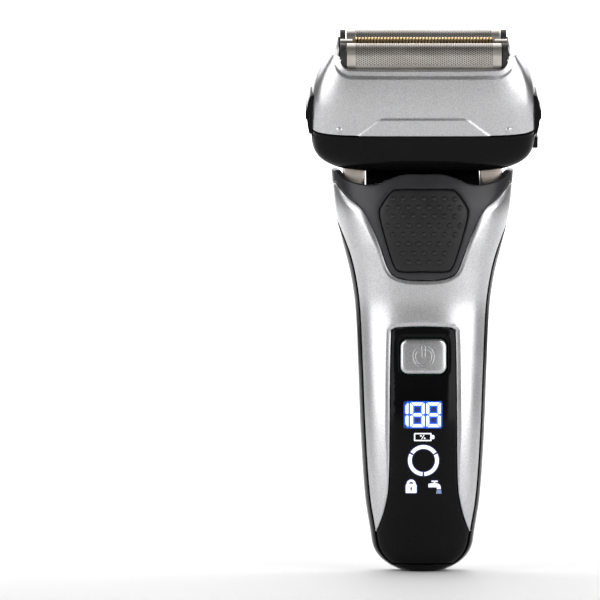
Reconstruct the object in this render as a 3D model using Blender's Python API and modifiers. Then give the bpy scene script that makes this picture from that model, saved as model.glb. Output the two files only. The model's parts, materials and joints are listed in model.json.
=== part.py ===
"""Electric foil shaver: a handle with a display, and a floating head with two foils and a comb.

Lengths are in millimetres and are scaled to metres when a mesh is made.  +Z runs up the handle and
the front faces -Y.  The head leans forward over the front, so its pieces are built in a leaning
frame whose origin lies on the head's pivot axis.
"""
import math

import bmesh
import bpy
from mathutils import Matrix, Vector

MM = 0.001
GAP = 0.3                      # clearance between pieces that touch
REACH = 60.0                   # a length that passes right through the object

CENTRE_Y = 3.886               # moves the object so that its depth is centred on y = 0

# Handle: z, half width, depth in front of the middle plane, depth behind it
HANDLE_STATIONS = [
    (0.0, 14.0, 9.6, 9.8),
    (10.0, 15.2, 10.8, 11.2),
    (22.0, 17.1, 12.9, 13.2),
    (40.0, 18.4, 14.3, 14.8),
    (60.0, 19.25, 14.4, 15.8),
    (78.0, 20.1, 14.6, 16.0),
    (88.0, 21.5, 16.0, 15.6),
    (98.0, 24.0, 17.4, 14.6),
    (108.0, 26.1, 17.6, 13.4),
    (120.0, 27.1, 14.6, 12.0),
]
HANDLE_POWER = 2.6             # squareness of the handle's section
HANDLE_SIDES = 40              # points round a section
HANDLE_ROWS = (0.0, 0.4, 1.1, 2.2, 3.8, 6.0, 9.0, 14.0, 22.0, 31.0, 40.0, 50.0, 60.0, 69.0, 78.0,
               83.0, 88.0, 93.0, 98.0, 103.0, 108.0, 112.0, 116.0, 120.0)
END_POWER = 2.2                # roundness of the handle's lower end
END_WIDTH = (-0.6, 9.0)        # heights between which the end rounds off, across
END_DEPTH = (-6.0, 6.0)        # and from front to back
WALL = 1.8                     # wall of the handle's covers

SEAM_INSET = 1.3               # front covers stop this far inside the outline seen from the front
SEAM_OPENS = (92.0, 110.0)     # heights between which the metal reaches out to that outline
SIDE_SEAM = 0.12               # the covers meet at the sides this far behind the middle plane
WINDOW_FOOT = 1.8              # lower edge of the display window

COLLAR_LINE = [(0.0, 85.6), (4.7, 85.8), (8.5, 86.9), (10.6, 89.2), (13.0, 95.8), (15.0, 100.7),
               (17.2, 105.2), (19.3, 107.8), (23.4, 111.2), (26.6, 115.9), (29.0, 120.5)]
COLLAR_BACK = 107.6            # lower edge of the collar at the back
RIM_LINE = [(0.0, 117.0), (6.6, 116.8), (13.6, 114.2), (17.5, 114.1), (20.9, 114.9),
            (23.6, 116.1), (26.1, 118.5), (28.5, 121.5)]
GRIP_LINE = [(0.0, 112.4), (7.2, 112.4), (9.6, 111.6), (12.4, 107.6), (13.0, 105.4),
             (12.1, 101.0), (9.9, 93.4), (8.4, 89.6), (6.4, 88.3), (0.0, 88.3)]
GRIP_RISE = 0.6
WINDOW_LINE = [(0.0, 72.0), (7.6, 71.7), (9.0, 71.1), (9.5, 69.6), (9.84, 56.0), (9.95, 42.0),
               (10.2, 26.0), (10.9, 20.5), (12.0, 16.2), (13.2, 13.0)]

BUTTON_Z = 63.4
BUTTON_SIZE = (14.0, 10.7)
BUTTON_CORNER = 2.2
BUTTON_RISE = 0.5

SOCKET_HALF = (4.5, 2.6)       # opening for the charging plug
SOCKET_TOP = 12.5
PIN_SPACING = 2.3

MOTOR_RADIUS = 9.5
MOTOR_LENGTH = (76.0, 103.5)
CRANK = 1.0                    # throw of the eccentric pin

# Head, in its own leaning frame: x across, y to the rear, z up; the pivot axis is at y = z = 0
LEAN = math.radians(23.0)
PIVOT_Y = -2.3
PIVOT_Z = 126.2
SEAM = 8.0                     # height of the seam between base and foil frame
HEAD_STATIONS = [              # height over the seam, half width, half depth of the foil frame
    (0.0, 33.2, 14.6),
    (8.0, 33.0, 14.2),
    (12.0, 32.5, 13.5),
    (15.0, 31.7, 12.8),
    (18.5, 30.2, 11.9),
    (21.0, 28.7, 11.3),
    (23.0, 27.2, 10.9),
]
HEAD_POWER = 5.0
HEAD_SIDES = 40
BASE_ROUND = 14.0              # height over which the base rounds off
BASE_POWER = 3.5
OPENING = (24.9, 10.0)         # inside of the foil frame at its lip
LIP = 19.5
FOIL_RADIUS = 3.3
FOIL_CENTRE = 22.4             # centre of the foil arch over the seam
FOIL_SPACING = 6.0
FOIL_HALF = 22.6
COMB_RADIUS = 2.1
COMB_CENTRE = 23.4
COMB_HALF = 20.6
FLOAT = 1.2                    # travel of the floating foils
ARM = (17.1, 23.6)             # inner and outer face of a pivot arm
ARM_HALF = 3.4                 # half its depth


# ---------------------------------------------------------------- geometry helpers

def between(stations, column, z):
    """Smooth value of one column of the stations at height z."""
    last = len(stations) - 2
    i = next((k for k in range(last) if z < stations[k + 1][0]), last)
    (z0, a), (z1, b) = ((stations[k][0], stations[k][column]) for k in (i, i + 1))
    before = stations[max(i - 1, 0)]
    after = stations[min(i + 2, len(stations) - 1)]
    slope0 = (b - before[column]) / (z1 - before[0])
    slope1 = (after[column] - a) / (after[0] - z0)
    t = (z - z0) / (z1 - z0)
    span = z1 - z0
    return ((2 * t ** 3 - 3 * t ** 2 + 1) * a + (t ** 3 - 2 * t ** 2 + t) * span * slope0
            + (3 * t ** 2 - 2 * t ** 3) * b + (t ** 3 - t ** 2) * span * slope1)


def rounding(z, limits, power):
    """Factor that closes a form towards its end, from 0 at limits[0] to 1 at limits[1]."""
    t = min(max((limits[1] - z) / (limits[1] - limits[0]), 0.0), 1.0)
    return (1.0 - t ** power) ** (1.0 / power)


def handle_width(z):
    return between(HANDLE_STATIONS, 1, z) * rounding(z, END_WIDTH, END_POWER)


def ring(half_width, front, back, power, sides, z):
    """Closed superellipse section at height z."""
    points = []
    for k in range(sides):
        angle = 2 * math.pi * k / sides
        c, s = math.cos(angle), math.sin(angle)
        x = half_width * math.copysign(abs(c) ** (2 / power), c)
        y = (back if s > 0 else front) * math.copysign(abs(s) ** (2 / power), s)
        points.append((x, y, z))
    return points


def handle_ring(z, offset=0.0):
    depth = rounding(z, END_DEPTH, END_POWER)
    return ring(handle_width(z) + offset,
                between(HANDLE_STATIONS, 2, z) * depth + offset,
                between(HANDLE_STATIONS, 3, z) * depth + offset,
                HANDLE_POWER, HANDLE_SIDES, z)


def smooth(points, steps=3):
    """Catmull-Rom curve through the points."""
    path = []
    ends = [points[0]] + list(points) + [points[-1]]
    for a, b, c, d in zip(ends, ends[1:], ends[2:], ends[3:]):
        for k in range(steps):
            t = k / steps
            path.append(tuple(
                0.5 * (2 * q + (r - p) * t + (2 * p - 5 * q + 4 * r - s) * t * t
                       + (3 * q - p - 3 * r + s) * t ** 3)
                for p, q, r, s in zip(a, b, c, d)))
    path.append(tuple(points[-1]))
    return path


def mirrored(right):
    """Closed outline from its right half, which starts and ends on x = 0 or at an open end."""
    left = [(-x, z) for x, z in reversed(right) if x > 1e-6]
    return list(right) + left


def widened(outline, distance):
    """The outline moved outwards by a distance, or inwards by a negative one."""
    area = sum(a[0] * b[1] - b[0] * a[1] for a, b in zip(outline, outline[1:] + outline[:1]))
    side = math.copysign(1.0, area)
    result = []
    count = len(outline)
    for k in range(count):
        here = Vector(outline[k])
        into = (here - Vector(outline[k - 1])).normalized()
        out = (Vector(outline[(k + 1) % count]) - here).normalized()
        bisector = Vector((into.y + out.y, -into.x - out.x)).normalized() * side
        stretch = max(bisector.dot(Vector((out.y, -out.x)) * side), 0.5)
        result.append(tuple(here + bisector * distance / stretch))
    return result


def rounded_box_outline(half_x, half_z, corner, centre=(0.0, 0.0), steps=4):
    points = []
    for quarter, (sx, sz) in enumerate(((1, 1), (-1, 1), (-1, -1), (1, -1))):
        for k in range(steps + 1):
            angle = math.pi / 2 * (quarter + k / steps)
            points.append((centre[0] + sx * (half_x - corner) + corner * math.cos(angle),
                           centre[1] + sz * (half_z - corner) + corner * math.sin(angle)))
    return points


def arch_outline(radius, centre, foot, steps=10):
    """Upright section with a round top: y across, z up."""
    points = [(radius, foot)]
    for k in range(steps + 1):
        angle = math.pi * k / steps
        points.append((radius * math.cos(angle), centre + radius * math.sin(angle)))
    return points + [(-radius, foot)]


# ---------------------------------------------------------------- object helpers

def reset():
    for item in list(bpy.data.objects):
        bpy.data.objects.remove(item, do_unlink=True)
    groups = []
    for name in ("electric_shaver", "cutters"):
        group = bpy.data.collections.new(name)
        bpy.context.scene.collection.children.link(group)
        groups.append(group)
    return groups


PARTS, CUTTERS = reset()


def material(name, colour, roughness, metallic=0.0):
    made = bpy.data.materials.get(name)
    if made is None:
        made = bpy.data.materials.new(name)
        made.use_nodes = True
        shader = made.node_tree.nodes["Principled BSDF"]
        shader.inputs["Base Color"].default_value = (*colour, 1.0)
        shader.inputs["Roughness"].default_value = roughness
        shader.inputs["Metallic"].default_value = metallic
    return made


FINISHES = {
    "satin_silver": ((0.62, 0.62, 0.63), 0.32, 0.9),
    "dark_satin": ((0.07, 0.07, 0.075), 0.4, 0.3),
    "gloss_black": ((0.01, 0.01, 0.012), 0.08, 0.0),
    "matt_black": ((0.02, 0.02, 0.022), 0.55, 0.0),
    "rubber": ((0.018, 0.018, 0.02), 0.75, 0.0),
    "nickel": ((0.68, 0.66, 0.63), 0.25, 1.0),
    "gold": ((0.83, 0.6, 0.2), 0.25, 1.0),
    "steel": ((0.5, 0.5, 0.51), 0.35, 1.0),
    "neck_metal": ((0.62, 0.53, 0.46), 0.4, 0.9),
    "board_green": ((0.02, 0.16, 0.07), 0.5, 0.0),
    "cell_blue": ((0.03, 0.12, 0.35), 0.4, 0.0),
    "clear_grey": ((0.2, 0.21, 0.22), 0.4, 0.0),
}


def axis_empty(name, place, parent=None, lean=0.0):
    """Empty on a joint's axis, which the moving pieces hang from."""
    item = bpy.data.objects.new(name, None)
    PARTS.objects.link(item)
    item.location = [value * MM for value in place]
    item.rotation_euler = (lean, 0.0, 0.0)
    item.parent = parent
    return item


FRAME = axis_empty("shaver_frame", (0.0, CENTRE_Y, 0.0))


def add(name, bm, finish=None, parent=None):
    """Object from a bmesh in millimetres; without a finish it is a cutter."""
    bmesh.ops.scale(bm, vec=(MM, MM, MM), verts=bm.verts)
    bmesh.ops.recalc_face_normals(bm, faces=bm.faces)
    mesh = bpy.data.meshes.new(name)
    bm.to_mesh(mesh)
    bm.free()
    item = bpy.data.objects.new(name, mesh)
    if finish is None:
        CUTTERS.objects.link(item)
        item.hide_render = True
        item.display_type = "WIRE"
    else:
        PARTS.objects.link(item)
        mesh.materials.append(material(finish, *FINISHES[finish]))
        mesh.shade_smooth()
        mesh.set_sharp_from_angle(angle=math.radians(35))
    item.parent = parent or FRAME
    return item


def loft(rings):
    """Closed solid through rings of equal count."""
    bm = bmesh.new()
    rows = [[bm.verts.new(point) for point in points] for points in rings]
    count = len(rows[0])
    for low, high in zip(rows, rows[1:]):
        for k in range(count):
            n = (k + 1) % count
            bm.faces.new((low[k], low[n], high[n], high[k]))
    bm.faces.new(rows[0][::-1])
    bm.faces.new(rows[-1])
    return bm


AXES = {                       # how an outline's two axes and its thickness lie in the object
    "x": Matrix(((0, 0, 1), (1, 0, 0), (0, 1, 0))),
    "y": Matrix(((1, 0, 0), (0, 0, -1), (0, 1, 0))),
    "z": Matrix.Identity(3),
}


def slab(outline, low, high, axis):
    """Flat outline made solid from low to high along an axis; returned as a bmesh."""
    curve = bpy.data.curves.new("outline", "CURVE")
    curve.dimensions = "2D"
    curve.fill_mode = "BOTH"
    curve.extrude = (high - low) / 2
    spline = curve.splines.new("POLY")
    spline.points.add(len(outline) - 1)
    for point, (a, b) in zip(spline.points, outline):
        point.co = (a, b, 0.0, 1.0)
    spline.use_cyclic_u = True
    guide = bpy.data.objects.new("outline", curve)
    CUTTERS.objects.link(guide)
    solid = bpy.data.meshes.new_from_object(
        guide.evaluated_get(bpy.context.evaluated_depsgraph_get()))
    bpy.data.objects.remove(guide, do_unlink=True)
    bm = bmesh.new()
    bm.from_mesh(solid)
    bpy.data.meshes.remove(solid)
    bmesh.ops.remove_doubles(bm, verts=bm.verts, dist=0.0001)
    turn = AXES[axis]
    along = turn @ Vector((0, 0, 1))
    sign = along[max(range(3), key=lambda i: abs(along[i]))]
    for vert in bm.verts:
        vert.co = turn @ (vert.co + Vector((0, 0, sign * (low + high) / 2)))
    return bm


def box(low, high):
    bm = bmesh.new()
    bmesh.ops.create_cube(bm, size=1.0)
    for vert in bm.verts:
        vert.co = [(a + b) / 2 + c * (b - a) for a, b, c in zip(low, high, vert.co)]
    return bm


def rod(radius, low, high, axis="z", centre=(0.0, 0.0), sides=20):
    """Cylinder from low to high along an axis; centre is in the two other axes, in order."""
    bm = bmesh.new()
    bmesh.ops.create_cone(bm, cap_ends=True, segments=sides, radius1=radius, radius2=radius,
                          depth=high - low)
    for vert in bm.verts:
        x, y, z = vert.co
        z += (low + high) / 2
        if axis == "z":
            vert.co = (x + centre[0], y + centre[1], z)
        elif axis == "x":
            vert.co = (z, x + centre[0], y + centre[1])
        else:
            vert.co = (x + centre[0], z, y + centre[1])
    return bm


def join(piece, bm, operation="DIFFERENCE"):
    """Cut, join or keep the common part of a piece with another solid."""
    tool = add(piece.name + "_tool", bm, parent=piece.parent)
    change = piece.modifiers.new(operation.lower(), "BOOLEAN")
    change.operation = operation
    change.solver = "EXACT"
    change.object = tool
    return piece


def soften(piece, width, segments=2, angle=40):
    edge = piece.modifiers.new("soft_edges", "BEVEL")
    edge.width = width * MM
    edge.segments = segments
    edge.limit_method = "ANGLE"
    edge.angle_limit = math.radians(angle)
    return piece


# ---------------------------------------------------------------- handle covers

def handle_solid(offset, low=0.0, high=120.0):
    rows = [z for z in HANDLE_ROWS if low < z < high]
    return loft([handle_ring(z, offset) for z in [low] + rows + [high]])


def front_half_width(z):
    """Half width of the front covers' area, seen from the front."""
    t = min(max((z - SEAM_OPENS[0]) / (SEAM_OPENS[1] - SEAM_OPENS[0]), 0.0), 1.0)
    return handle_width(z) - SEAM_INSET + t * t * (3 - 2 * t) * (SEAM_INSET + 0.6)


def front_outline(top=121.0):
    heights = [WINDOW_FOOT] + [z for z in HANDLE_ROWS if WINDOW_FOOT < z < top] + [top]
    return mirrored([(front_half_width(z), z) for z in heights])


def below(line, floor, low_limit=None):
    """Outline of all that lies under a line given for the right half."""
    right = [(x, z if low_limit is None else max(z, low_limit)) for x, z in line]
    width = right[-1][0]
    return mirrored(right + [(width, floor)])


def window_outline():
    """Outline of the display window: its own sides above, the front seam below."""
    sides = smooth(WINDOW_LINE)
    meet = sides[-1][1]
    foot = [(front_half_width(z) - GAP, z) for z in reversed(HANDLE_ROWS)
            if WINDOW_FOOT + GAP < z < meet - 1.0]
    return mirrored(sides + foot + [(front_half_width(WINDOW_FOOT + GAP) - GAP, WINDOW_FOOT + GAP)])


def cover(name, finish, offset=0.0):
    """Open shell of the whole handle, from which a cover is cut."""
    piece = add(name, handle_solid(offset), finish)
    return join(piece, handle_solid(-WALL, low=2.0, high=122.0))


def rear_shell():
    piece = cover("rear_shell", "gloss_black")
    join(piece, slab(front_outline(), -REACH, SIDE_SEAM, "y"))
    line = smooth(COLLAR_LINE)
    top = below([(x, max(z, COLLAR_BACK) - GAP) for x, z in line], REACH * 4)
    join(piece, slab(top, -REACH, REACH, "y"))
    join(piece, box((-SOCKET_HALF[0], -SOCKET_HALF[1], -5), (SOCKET_HALF[0], SOCKET_HALF[1], 5)))
    join(piece, slab(trimmer_outline(GAP, TRIMMER_SWING), 0.0, REACH, "y"))
    return piece


def front_frame():
    piece = cover("front_frame", "satin_silver")
    join(piece, slab(below(smooth(COLLAR_LINE), REACH * 4), -REACH, 25.0, "y"))
    join(piece, slab(widened(window_outline(), GAP), -REACH, 3.0, "y"))
    join(piece, slab(widened(front_outline(), -GAP), -REACH, SIDE_SEAM - GAP, "y"), "INTERSECT")
    return piece


def collar():
    piece = cover("collar", "dark_satin")
    line = smooth(COLLAR_LINE)
    front = widened(below(line, 60.0), GAP)
    back = widened(below(line, 60.0, COLLAR_BACK), GAP)
    join(piece, slab(front, -REACH, SIDE_SEAM, "y"))
    join(piece, slab(back, SIDE_SEAM - 0.1, REACH, "y"))
    join(piece, box((-REACH, -REACH, -1), (REACH, REACH, 70)))
    join(piece, slab(below(smooth(RIM_LINE), REACH * 4), -REACH, REACH, "y"))
    join(piece, slab(widened(grip_outline(), GAP), -REACH, 0.0, "y"))
    return piece


def grip_outline():
    return mirrored(smooth(GRIP_LINE, 2))


def thumb_grip():
    piece = add("thumb_grip", handle_solid(GRIP_RISE, 80.0), "rubber")
    join(piece, handle_solid(-WALL, 79.0, 122.0))
    join(piece, slab(grip_outline(), -REACH, -2.0, "y"), "INTERSECT")
    return piece


def display_window():
    piece = add("display_window", handle_solid(-0.15), "gloss_black")
    join(piece, handle_solid(-WALL, low=1.0, high=122.0))
    join(piece, slab(window_outline(), -REACH, -2.0, "y"), "INTERSECT")
    join(piece, slab(widened(button_outline(), GAP), -REACH, 0.0, "y"))
    return piece


def button_outline():
    return rounded_box_outline(BUTTON_SIZE[0] / 2, BUTTON_SIZE[1] / 2, BUTTON_CORNER,
                               (0.0, BUTTON_Z))


def power_button():
    piece = add("power_button", handle_solid(BUTTON_RISE, 50.0, 78.0), "satin_silver")
    join(piece, handle_solid(-WALL, 49.0, 79.0))
    join(piece, slab(button_outline(), -REACH, -2.0, "y"), "INTERSECT")
    return piece


# ---------------------------------------------------------------- inside the handle

BOARD_FRONT = -8.0             # front face of the main board
CELL_Y = 3.4


def display_module():
    piece = add("display_module", box((-7.6, BOARD_FRONT - 2.0, 22.0), (7.6, BOARD_FRONT - GAP, 52.0)),
                "clear_grey")
    return piece


def tact_switch():
    piece = add("tact_switch", box((-3.0, BOARD_FRONT - 1.4, BUTTON_Z - 3.0),
                                   (3.0, BOARD_FRONT - GAP, BUTTON_Z + 3.0)), "matt_black")
    join(piece, rod(1.5, BOARD_FRONT - 2.0, BOARD_FRONT - 1.0, "y", (0.0, BUTTON_Z)), "UNION")
    return piece


def main_board():
    piece = add("main_board", box((-8.5, BOARD_FRONT, 20.0), (8.5, BOARD_FRONT + 1.2, 73.0)),
                "board_green")
    for x, z in SCREW_PLACES:
        join(piece, rod(1.0, BOARD_FRONT - 1, BOARD_FRONT + 3, "y", (x, z), 12))
    return piece


SCREW_PLACES = [(x, z) for z in (54.5, 71.0) for x in (-6.8, 6.8)]
CHASSIS = (BOARD_FRONT + 1.5, BOARD_FRONT + 4.0)


def board_screws():
    for name, (x, z) in zip(("lower_left", "lower_right", "upper_left", "upper_right"),
                            SCREW_PLACES):
        piece = add("board_screw_" + name,
                    rod(1.4, BOARD_FRONT - 1.1, BOARD_FRONT - GAP, "y", (x, z), 12), "steel")
        join(piece, rod(0.7, BOARD_FRONT - 0.8, BOARD_FRONT + 3.2, "y", (x, z), 12), "UNION")


def chassis():
    piece = add("chassis", box((-9.5, CHASSIS[0], 20.0), (9.5, CHASSIS[1], 73.5)), "matt_black")
    for low in (17.5, 61.5):
        join(piece, box((-9.5, CHASSIS[1] - 1.0, low), (9.5, 8.4, low + 2.0)), "UNION")
    join(piece, box((-9.5, CHASSIS[1] - 1.0, 71.5), (9.5, 7.0, 73.5)), "UNION")
    join(piece, box((-9.5, CHASSIS[0], 17.5), (9.5, CHASSIS[1] - 0.2, 21.0)), "UNION")
    for x, z in SCREW_PLACES:
        join(piece, rod(1.0, CHASSIS[0] - 1, CHASSIS[1] - 0.6, "y", (x, z), 12))
    return piece


def battery_cell():
    piece = add("battery_cell", rod(7.0, 19.8, 60.2, "z", (0.0, CELL_Y), 28), "cell_blue")
    join(piece, rod(2.8, 60.0, 61.2, "z", (0.0, CELL_Y), 16), "UNION")
    return piece


def charging_socket():
    x, y = SOCKET_HALF
    piece = add("charging_socket", box((-x - 1.4, -y - 1.4, 2.0 + GAP), (x + 1.4, y + 1.4, SOCKET_TOP)),
                "matt_black")
    join(piece, box((-x, -y, 0.0), (x, y, 10.5)))
    for side in (-1, 1):
        join(piece, rod(0.8 + GAP, 9.0, 20.0, "z", (side * PIN_SPACING, 0.0), 12))
    return piece


def charging_pins():
    for name, side in (("left", -1), ("right", 1)):
        add("charging_pin_" + name, rod(0.8, 5.5, 15.0, "z", (side * PIN_SPACING, 0.0), 12), "nickel")


def motor():
    low, high = MOTOR_LENGTH
    piece = add("motor", rod(MOTOR_RADIUS, low, high, "z", (0.0, PIVOT_Y), 32), "steel")
    join(piece, rod(3.0, high - 1, high + 1.4, "z", (0.0, PIVOT_Y), 20), "UNION")
    return piece


def motor_mount():
    low = MOTOR_LENGTH[1] + GAP
    piece = add("motor_mount", handle_solid(-WALL - GAP, low, low + 2.0), "matt_black")
    join(piece, box((-REACH, -REACH, low - 5), (REACH, -11.5, low + 5)))
    join(piece, box((-REACH, 7.6, low - 5), (REACH, REACH, low + 5)))
    join(piece, rod(3.0 + GAP, low - 5, low + 5, "z", (0.0, PIVOT_Y), 20))
    return piece


BALANCE = 0.39                 # how far the disc sits off the shaft to balance the crank pin


def eccentric():
    axle = axis_empty("motor_axis", (0.0, PIVOT_Y, 0.0), FRAME)
    low = MOTOR_LENGTH[1] + 2.0 + 2 * GAP
    piece = add("eccentric", rod(3.6, low + GAP, low + 4.0, "z", (-BALANCE, 0.0), 20), "steel", axle)
    join(piece, rod(1.0, low + 3.0, PIVOT_Z + 1.0, "z", (CRANK, 0.0), 12), "UNION")
    return piece


# ---------------------------------------------------------------- neck

DECK = (109.6, 111.4)


def top_deck():
    piece = add("top_deck", handle_solid(-WALL - GAP, *DECK), "matt_black")
    join(piece, rod(5.2, 100, 120, "z", (0.0, PIVOT_Y), 24))
    return piece


# Side outline of the neck block, y from the pivot: its top slants so that the head can tilt over it
NECK_PROFILE = [(-7.5, DECK[1] + GAP), (7.5, DECK[1] + GAP), (7.5, 119.6), (6.4, 121.0),
                (5.0, 121.2), (0.0, 119.1), (-6.6, 114.9), (-7.5, 113.6)]
SEAL = {"inner": 2.4, "outer": 3.6, "low": 112.4, "high": 115.4}


def neck_block():
    outline = [(y + PIVOT_Y, z) for y, z in NECK_PROFILE]
    half = ARM[0] - GAP
    piece = add("neck_block", slab(outline, -half, half, "x"), "gloss_black")
    join(piece, rod(SEAL["outer"] + GAP, 100, 130, "z", (0.0, PIVOT_Y), 24))
    return piece


def neck_seal():
    """Seal round the drive pin, inside the neck's bore."""
    bore = (0.0, PIVOT_Y)
    piece = add("neck_seal", rod(SEAL["outer"], SEAL["low"], SEAL["high"], "z", bore, 24), "rubber")
    join(piece, rod(SEAL["inner"], 100, 130, "z", bore, 24))
    return piece


def neck_arms():
    for name, side in (("left", -1), ("right", 1)):
        outline = [(PIVOT_Y + y, z) for y, z in arch_outline(ARM_HALF, PIVOT_Z, DECK[1] + GAP)]
        low, high = sorted((side * ARM[0], side * ARM[1]))
        piece = add("neck_arm_" + name, slab(outline, low, high, "x"), "neck_metal")
        soften(piece, 0.5, 1)
        join(piece, rod(1.5 + GAP, low - 2, high + 2, "x", (PIVOT_Y, PIVOT_Z), 20))
        low, high = sorted((side * (ARM[0] + 0.4), side * 28.4))
        add("pivot_pin_" + name, rod(1.5, low, high, "x", (PIVOT_Y, PIVOT_Z), 20), "steel")


# ---------------------------------------------------------------- head

def head_ring(height, offset=0.0):
    """Section of the head at a height over the seam."""
    if height >= 0:
        width, depth = (between(HEAD_STATIONS, k, height) for k in (1, 2))
    else:
        close = rounding(height, (-BASE_ROUND, 0.0), BASE_POWER)
        width, depth = HEAD_STATIONS[0][1] * close, HEAD_STATIONS[0][2] * close
    return ring(width + offset, depth + offset, depth + offset, HEAD_POWER, HEAD_SIDES,
                height + SEAM)


def head_solid(heights, offset=0.0):
    return loft([head_ring(height, offset) for height in heights])


def up(low, high):
    """Box corners given as heights over the seam."""
    return (low[0], low[1], low[2] + SEAM), (high[0], high[1], high[2] + SEAM)


RELEASE = {"across": (31.0, 34.7), "along": (-8.2, 0.2), "height": (-1.7, 10.3)}
LOCK = {"across": (31.0, 33.9), "along": (-6.0, -2.0), "height": (-7.1, -3.6), "travel": 2.0}
BASE_HEIGHTS = (-13.3, -12.7, -11.6, -10.0, -7.5, -5.0, -2.5, -0.15)


def head_base(head):
    piece = add("head_base", head_solid(BASE_HEIGHTS), "gloss_black", head)
    join(piece, head_solid((-11.5, -10.0, -7.5, -5.0, -2.5, -1.0), -WALL))
    join(piece, head_solid((-1.4, 1.0), -WALL))
    join(piece, box(*up((-16.0, -6.0, -15.0), (16.0, 6.0, -8.0))))
    for side in (-1, 1):
        a, b = sorted((side * (ARM[0] - 0.5), side * (ARM[1] + 0.5)))
        join(piece, box(*up((a, -8.3, -15.0), (b, 4.9, -8.0))))
        a, b = sorted((side * 24.6, side * 27.6))
        join(piece, box(*up((a, -4.0, -11.4), (b, 4.0, -4.5))), "UNION")
        join(piece, rod(1.5 + GAP, a - 2, b + 2, "x", (0.0, 0.0), 20))
        a, b = sorted((side * 29.0, side * 40.0))
        along, height = RELEASE["along"], RELEASE["height"]
        join(piece, box(*up((a, along[0] - GAP, height[0] - GAP), (b, along[1] + GAP, 5.0))))
    along, height = LOCK["along"], LOCK["height"]
    join(piece, box(*up((29.0, along[0] - GAP, height[0] - GAP),
                        (40.0, along[1] + LOCK["travel"] + GAP, height[1] + GAP))))
    return piece


def drive_deck(head):
    piece = add("drive_deck", head_solid((-2.8, -1.4 - GAP), -WALL - GAP), "matt_black", head)
    join(piece, box(*up((-9.0, -5.5, -9.0), (9.0, 5.5, 4.0))))
    for side in (-1, 1):
        a, b = sorted((side * 29.0, side * 40.0))
        join(piece, box(*up((a, -9.0, -9.0), (b, 1.0, 5.0))))
    return piece


def drive_bridge(head):
    piece = add("drive_bridge", box(*up((-14.0, -8.4, 1.0), (14.0, 8.4, 3.0))), "matt_black", head)
    join(piece, box(*up((-6.0, -4.5, -9.6), (6.0, 4.5, 1.5))), "UNION")
    for y in (-FOIL_SPACING, 0.0, FOIL_SPACING):
        join(piece, rod(0.9, SEAM + 2.5, SEAM + 7.5, "z", (0.0, y), 12), "UNION")
    join(piece, box((-3.4, -REACH, -REACH), (3.4, REACH, 2.6)))
    return piece


def foil_frame(head):
    piece = add("foil_frame", head_solid((0.15, 4.0, 8.0, 12.0, 15.0, 17.0, 18.5, 20.0, 21.5, 23.0)),
                "satin_silver", head)
    join(piece, slab(rounded_box_outline(*OPENING, 0.7), 0.0, 60.0, "z"))
    join(piece, head_solid((-1.0, 0.0, 4.5, 9.0), -2.0))
    scoop = rounded_box_outline(24.5, 20.0, 3.0, (0.0, SEAM + LIP + 20.0))
    join(piece, slab(scoop, -REACH, REACH, "y"))
    along, height = RELEASE["along"], RELEASE["height"]
    for side in (-1, 1):
        a, b = sorted((side * 29.0, side * 40.0))
        join(piece, box(*up((a, along[0] - GAP, -3.0), (b, along[1] + GAP, height[1] + GAP))))
    return piece


def foil_cassette(head):
    piece = add("foil_cassette", box(*up((-24.5, -9.7, 9.6), (24.5, 9.7, 12.0))), "matt_black", head)
    join(piece, box(*up((-21.8, -9.0, 5.0), (21.8, 9.0, 20.0))))
    return piece


def foil_set(head, name, y):
    """One foil, its two end caps and the cutter under it."""
    centre = SEAM + FOIL_CENTRE
    foil = add("foil_" + name, slab(shift(arch_outline(FOIL_RADIUS, centre, SEAM + 15.5), y),
                                    -FOIL_HALF, FOIL_HALF, "x"), "nickel", head)
    inside = arch_outline(FOIL_RADIUS - GAP, centre, SEAM + 10.0)
    join(foil, slab(shift(inside, y), -FOIL_HALF - 2, FOIL_HALF + 2, "x"))
    for side_name, side in (("left", -1), ("right", 1)):
        low, high = sorted((side * (FOIL_HALF + GAP), side * 24.5))
        cap = add("foil_cap_%s_%s" % (name, side_name),
                  slab(shift(arch_outline(FOIL_RADIUS, centre, SEAM + 13.6), y), low, high, "x"),
                  "matt_black", head)
        soften(cap, 0.5, 1)
    cutter = arch_outline(FOIL_RADIUS - 2 * GAP, centre, SEAM + 9.0)
    blade = add("inner_cutter_" + name, slab(shift(cutter, y), -19.8, 19.8, "x"), "steel", head)
    join(blade, box(*up((-18.5, y - 1.9, 5.0), (18.5, y + 1.9, FOIL_CENTRE))))


def shift(outline, amount):
    return [(a + amount, b) for a, b in outline]


def comb_set(head):
    """Slotted comb between the foils, its holders and the blade under it."""
    centre = SEAM + COMB_CENTRE
    guard = add("comb_guard", slab(arch_outline(COMB_RADIUS, centre, SEAM + 15.5),
                                   -COMB_HALF, COMB_HALF, "x"), "gold", head)
    join(guard, slab(arch_outline(COMB_RADIUS - 0.4, centre, SEAM + 10.0), -30, 30, "x"))
    for side_name, side in (("left", -1), ("right", 1)):
        low, high = sorted((side * (COMB_HALF + GAP), side * 24.5))
        add("comb_holder_" + side_name,
            slab(arch_outline(COMB_RADIUS, centre - 0.5, SEAM + 13.6), low, high, "x"), "nickel", head)
    blade = arch_outline(COMB_RADIUS - 0.4 - GAP, centre, SEAM + 9.0)
    add("comb_blade", slab(blade, -18.8, 18.8, "x"), "steel", head)


def release_buttons(head):
    along, height = RELEASE["along"], RELEASE["height"]
    for name, side in (("left", -1), ("right", 1)):
        a, b = sorted(side * x for x in RELEASE["across"])
        piece = add("release_button_" + name,
                    box(*up((a, along[0], height[0]), (b, along[1], height[1]))), "gloss_black", head)
        soften(piece, 0.9, 2)


def head_lock_lever(head):
    a, b = LOCK["across"]
    along, height = LOCK["along"], LOCK["height"]
    piece = add("head_lock_lever", box(*up((a, along[0], height[0]), (b, along[1], height[1]))),
                "gloss_black", head)
    return soften(piece, 0.4, 1)


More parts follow.
